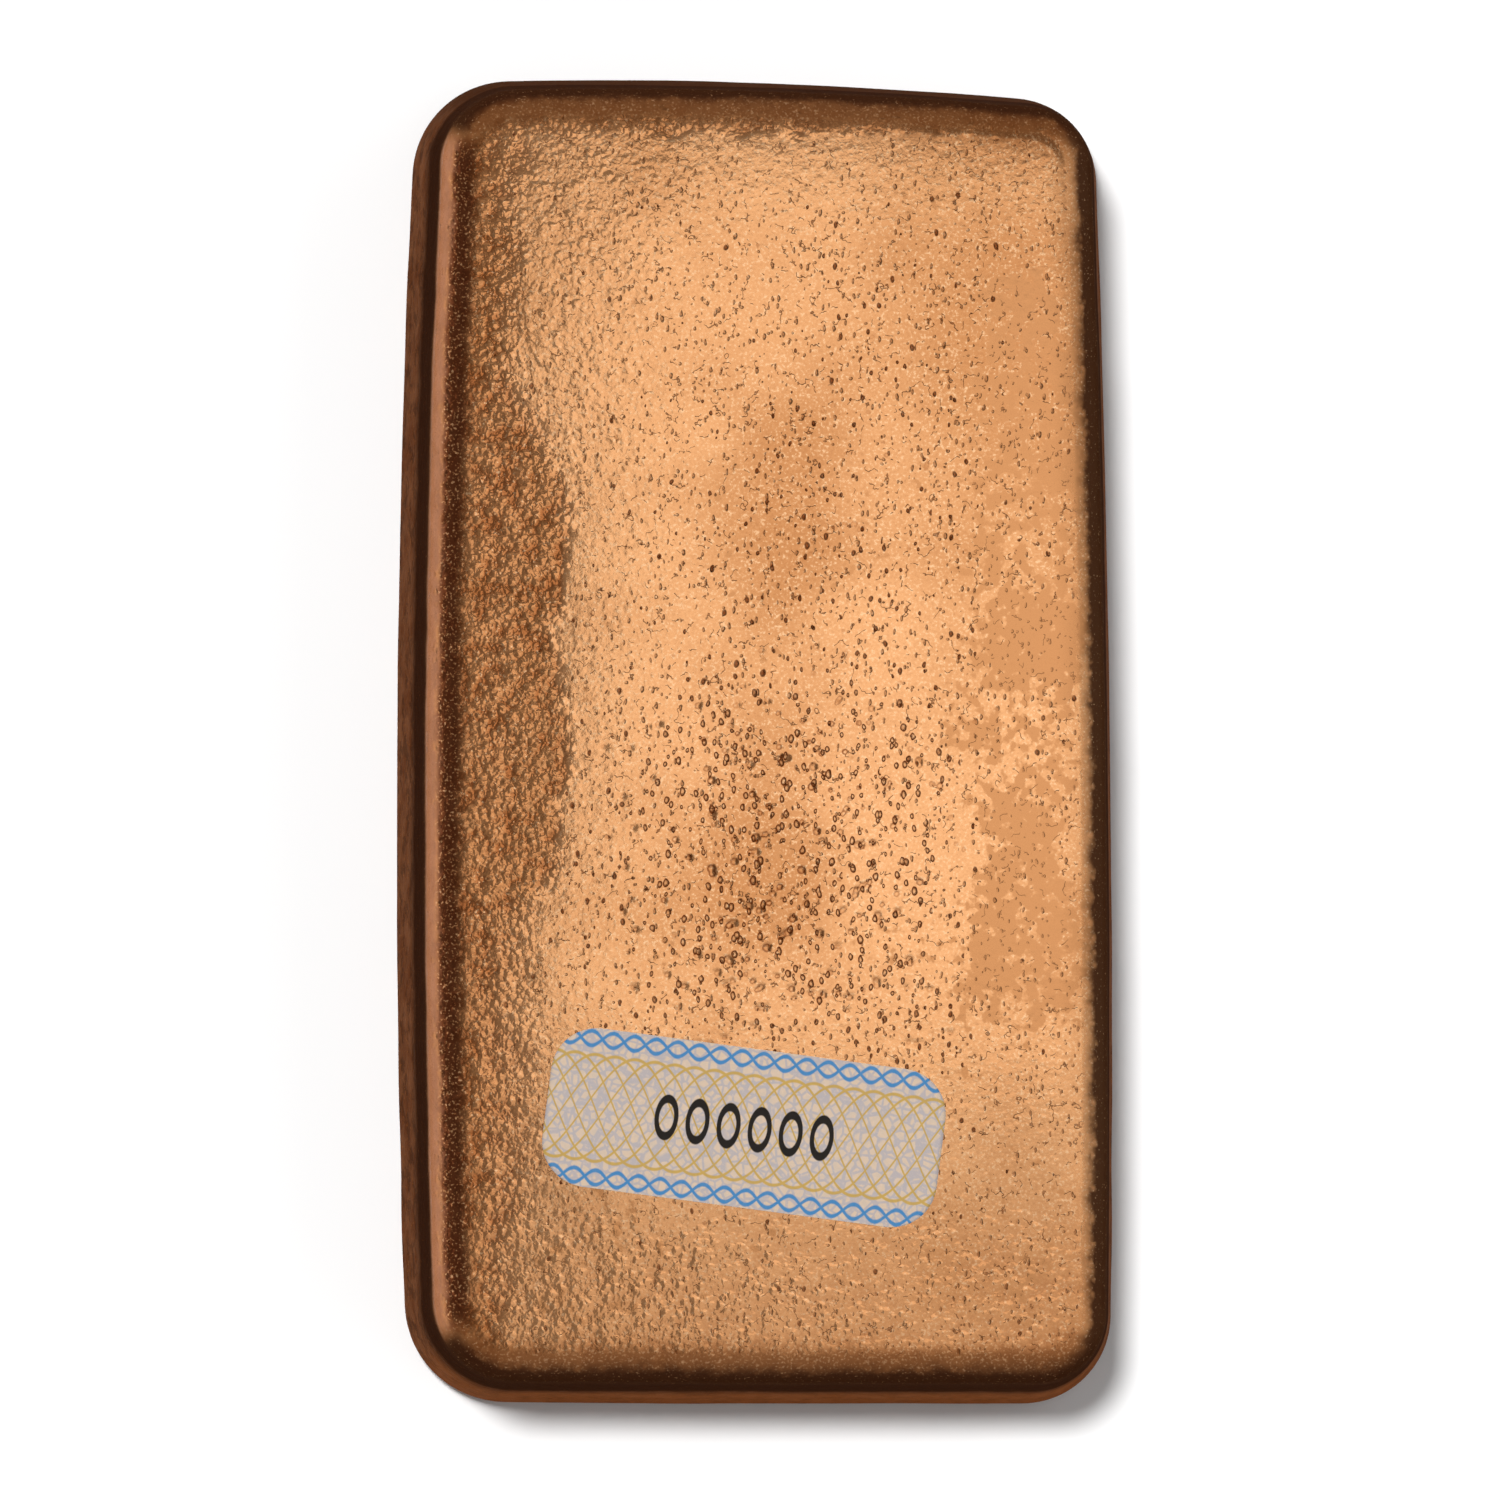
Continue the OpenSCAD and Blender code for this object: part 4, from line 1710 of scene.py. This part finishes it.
@dataclass(frozen=True)
class PaperFinish:
    """Pale printed paper with fine interlaced lines and a row of plain noughts."""

    sheet_length: float = 33.0
    ground: tuple[float, ...] = (0.60, 0.455, 0.335, 1.0)
    pale_blue: tuple[float, ...] = (0.50, 0.42, 0.35, 1.0)
    pale_fibre: tuple[float, ...] = (0.69, 0.53, 0.41, 1.0)
    ochre: tuple[float, ...] = (0.47, 0.28, 0.02, 1.0)
    blue: tuple[float, ...] = (0.010, 0.18, 0.42, 1.0)
    thread: tuple[float, ...] = (0.355, 0.34, 0.38, 1.0)
    ink: tuple[float, ...] = (0.008, 0.005, 0.003, 1.0)
    mottle: Noise = Noise(0.55)
    mottle_cut: Ramp = Ramp(0.42, 0.62, 0.0, 0.45)
    net_cell: float = 0.75
    net_line: Ramp = Ramp(0.16, 0.06, 0.0, 0.7)
    fibre: Noise = Noise(0.3, 3.0)
    fibre_cut: Ramp = Ramp(0.5, 0.75, 0.0, 0.35)
    fibre_rough: Ramp = Ramp(0.3, 0.7, 0.42, 0.58)
    fibre_height: float = 0.01
    ribbon: Strands = Strands(4.4, 15.0, 9, 0.19)
    ribbon_ink: float = 0.8
    border: Strands = Strands(0.6, 3.6, 2, 0.25)
    border_place: float = 5.7
    border_ink: float = 0.9
    noughts: Noughts = Noughts()
    sheen: float = 0.35

    def material(self) -> bpy.types.Material:
        """Builds the paper from its print layers.

        Returns:
            The material.
        """
        material, bench, shader = new_material("printed paper")
        flat = bench.add("ShaderNodeUVMap", uv_map=PRINT_MAP).outputs[0]
        centred = bench.add("ShaderNodeVectorMath", {0: flat, 1: (PRINT_MIDDLE, PRINT_MIDDLE, 0.0)},
                            operation="SUBTRACT").outputs[0]
        place = bench.add("ShaderNodeVectorMath", {0: centred, "Scale": self.sheet_length},
                          operation="SCALE").outputs[0]
        parts = bench.add("ShaderNodeSeparateXYZ", {0: place})
        u, v = parts.outputs[0], parts.outputs[1]

        mottle = bench.ease(bench.noise(place, self.mottle), self.mottle_cut)
        base = bench.tint(mottle, self.ground, self.pale_blue)
        net = bench.add("ShaderNodeTexVoronoi", {"Vector": place, "Scale": 1.0 / self.net_cell},
                        feature="DISTANCE_TO_EDGE")
        base = bench.tint(bench.ease(net.outputs["Distance"], self.net_line), base, self.thread)
        fibre = bench.noise(place, self.fibre)
        base = bench.tint(bench.ease(fibre, self.fibre_cut), base, self.pale_fibre)
        base = bench.tint(bench.times(self.ribbon.mask(bench, u, v), self.ribbon_ink), base, self.ochre)
        side = bench.calc("SUBTRACT", bench.calc("ABSOLUTE", v), self.border_place)
        base = bench.tint(bench.times(self.border.mask(bench, u, side), self.border_ink), base, self.blue)
        base = bench.tint(self.noughts.mask(bench, u, v), base, self.ink)
        lift = {"Height": fibre, "Distance": self.fibre_height * MM, "Strength": 1.0}
        bump = bench.add("ShaderNodeBump", lift)
        feeds = {"Base Color": base, "Normal": bump.outputs[0],
                 "Roughness": bench.ease(fibre, self.fibre_rough), "Specular IOR Level": self.sheen}
        for name, value in feeds.items():
            bench.feed(shader.inputs[name], value)
        return material


@dataclass(frozen=True)
class FloorFinish:
    """Matt white studio floor with a faint unevenness."""

    low: tuple[float, ...] = (0.955, 0.955, 0.955, 1.0)
    high: tuple[float, ...] = (0.97, 0.97, 0.97, 1.0)
    cloud: Noise = Noise(60.0, 1.0)
    roughness: float = 0.9

    def material(self) -> bpy.types.Material:
        """Builds the floor's white.

        Returns:
            The material.
        """
        material, bench, shader = new_material("white floor")
        cloud = bench.noise(bench.millimetres(), self.cloud)
        bench.feed(shader.inputs["Base Color"], bench.tint(cloud, self.low, self.high))
        shader.inputs["Roughness"].default_value = self.roughness
        shader.inputs["Specular IOR Level"].default_value = 0.0
        return material


# Studio


CEILING = 0.268
CEILING_SPIN = math.radians(-1.5)


@dataclass(frozen=True)
class SoftBox:
    """Rectangular lamp that metal mirrors and, if asked, matt surfaces see; the camera doesn't."""

    name: str
    place: tuple[float, float, float]
    aim: tuple[float, float, float]
    width: float
    depth: float
    radiance: float
    spin: float = 0.0
    lights_matt: bool = False

    def build(self) -> bpy.types.Object:
        """Makes the lamp; its power is radiance times area times pi.

        Returns:
            The lamp.
        """
        lamp = bpy.data.lights.new(self.name, "AREA")
        lamp.shape = "RECTANGLE"
        lamp.size, lamp.size_y = self.width, self.depth
        lamp.energy = self.radiance * self.width * self.depth * math.pi
        holder = bpy.data.objects.new(self.name, lamp)
        way = Vector(self.aim) - Vector(self.place)
        facing = Matrix.Rotation(self.spin, 4, "Z") @ way.to_track_quat("-Z", "Y").to_matrix().to_4x4()
        holder.matrix_world = Matrix.Translation(self.place) @ facing
        holder.visible_camera, holder.visible_diffuse = False, self.lights_matt
        bpy.context.collection.objects.link(holder)
        return holder


def ceiling_box(name: str, middle: tuple[float, float], width: float, depth: float, radiance: float,
                turned: bool = False) -> SoftBox:
    """Lamp that hangs level above the bar and looks straight down.

    Args:
        name: name of the lamp.
        middle: place of its middle in plan.
        width: size across.
        depth: size along.
        radiance: brightness of its face.
        turned: whether it hangs slightly askew.

    Returns:
        The lamp.
    """
    spin = CEILING_SPIN if turned else 0.0
    return SoftBox(name, (*middle, CEILING), (*middle, 0.0), width, depth, radiance, spin)


@dataclass(frozen=True)
class Studio:
    """Floor, lamps, surroundings and camera."""

    distance: float = 1.50
    lean_x: float = math.radians(-4.2)
    lean_y: float = math.radians(-2.0)
    aim: tuple[float, float, float] = (-0.00039, -0.00072, 0.0018)
    frame_width: float = 0.12569
    sensor: float = 36.0
    floor_half: float = 3.0
    sun_strength: float = 2.85
    sun_width: float = math.radians(9.5)
    sun_from: tuple[float, float, float] = (-0.21, 0.235, 1.0)
    boxes: tuple[SoftBox, ...] = (
        ceiling_box("overhead box", (0.0788, 0.0199), 0.1606, 0.0918, 0.84, turned=True),
        ceiling_box("upper wing", (-0.0058, 0.0522), 0.0086, 0.0304, 0.62),
        ceiling_box("lower wing", (-0.0039, -0.0150), 0.0048, 0.0200, 0.75),
        ceiling_box("foot box", (0.0760, -0.0885), 0.1606, 0.125, 0.48, turned=True),
        SoftBox("right box", (0.377, 0.0, 0.348), (0.0, 0.0, 0.02), 0.9, 0.38, 0.52, lights_matt=True),
        SoftBox("foot side box", (0.0, -0.42, 0.46), (0.0, -0.05, 0.02), 0.9, 0.40, 0.36),
        SoftBox("head side box", (0.0, 0.42, 0.46), (0.0, 0.05, 0.02), 0.9, 0.40, 0.30),
        SoftBox("left strip", (-0.55, 0.0, 0.13), (0.0, 0.0, 0.02), 0.9, 0.22, 0.8),
        SoftBox("left box", (-0.40, 0.0, 0.42), (0.0, 0.0, 0.02), 0.9, 0.26, 0.22),
    )
    clip: tuple[float, float] = (0.05, 20.0)
    low_grey: Ramp = Ramp(-0.9, 0.1, 0.26, 0.13)
    high_grey: Ramp = Ramp(0.86, 0.995, 0.16, 0.30)
    climb: Ramp = Ramp(0.35, 0.85)
    white: tuple[float, ...] = (1.0, 1.0, 1.0, 1.0)

    def lay_floor(self) -> None:
        """Lays the white floor at the level the ingot rests on."""
        half = self.floor_half
        points = np.array([[-half, -half, 0.0], [half, -half, 0.0], [half, half, 0.0], [-half, half, 0.0]])
        mesh = make_mesh("studio_floor", points, [np.array([[0, 1, 2, 3]])])
        mesh.materials.append(FloorFinish().material())
        floor = bpy.data.objects.new("studio_floor", mesh)
        bpy.context.collection.objects.link(floor)

    def hang_lamps(self) -> None:
        """Hangs the soft boxes, and a wide sun that only matt surfaces answer to."""
        for box in self.boxes:
            box.build()
        sun = bpy.data.lights.new("matt key", "SUN")
        sun.energy, sun.angle = self.sun_strength, self.sun_width
        holder = bpy.data.objects.new("matt key", sun)
        holder.rotation_euler = Vector(self.sun_from).to_track_quat("Z", "Y").to_euler()
        holder.visible_glossy = False
        bpy.context.collection.objects.link(holder)

    def surround(self) -> None:
        """Grey surroundings: dim all round, paler towards the foot and a little paler overhead."""
        world = bpy.data.worlds.new("grey studio")
        bpy.context.scene.world = world
        world.use_nodes = True
        world.node_tree.nodes.clear()
        bench = NodeBench(world.node_tree)
        way = bench.add("ShaderNodeTexCoord").outputs["Generated"]
        parts = bench.add("ShaderNodeSeparateXYZ", {0: way})
        rise, along = parts.outputs[2], parts.outputs[1]
        low = bench.ease(along, self.low_grey)
        high = bench.ease(rise, self.high_grey)
        level = bench.add("ShaderNodeMix", {0: bench.ease(rise, self.climb), 2: low, 3: high}).outputs[0]
        shade = bench.add("ShaderNodeBackground", {"Color": self.white, "Strength": level})
        bench.add("ShaderNodeOutputWorld", {"Surface": shade.outputs[0]})

    def set_camera(self) -> None:
        """Sets the camera nearly straight above, leaning a little to the left and the foot."""
        camera = bpy.data.cameras.new("camera")
        camera.sensor_width = self.sensor
        camera.lens = self.sensor * self.distance / self.frame_width
        camera.clip_start, camera.clip_end = self.clip
        aim = Vector(self.aim)
        away = Vector((math.tan(self.lean_x), math.tan(self.lean_y), 1.0)).normalized()
        right = Vector((0.0, 1.0, 0.0)).cross(away).normalized()
        upward = away.cross(right)
        turn = Matrix((right, upward, away)).transposed().to_4x4()
        holder = bpy.data.objects.new("camera", camera)
        holder.matrix_world = Matrix.Translation(aim + away * self.distance) @ turn
        bpy.context.collection.objects.link(holder)
        bpy.context.scene.camera = holder

    def build(self) -> None:
        """Builds the whole studio."""
        bpy.context.scene.view_settings.view_transform = "Standard"
        self.lay_floor()
        self.hang_lamps()
        self.surround()
        self.set_camera()


def report(piece: bpy.types.Object) -> None:
    """Logs a piece's triangle count."""
    piece.data.calc_loop_triangles()
    log.info("%s: %d triangles", piece.name, len(piece.data.loop_triangles))


def main() -> None:
    """Builds the studio, the casting and its label, and reports each piece."""
    logging.basicConfig(level=logging.INFO, format="%(name)s: %(message)s")
    Studio().build()
    report(IngotCasting().build(CopperFinish().material()))
    report(PaperLabel().build(PaperFinish().material()))


if __name__ == "__main__":
    main()
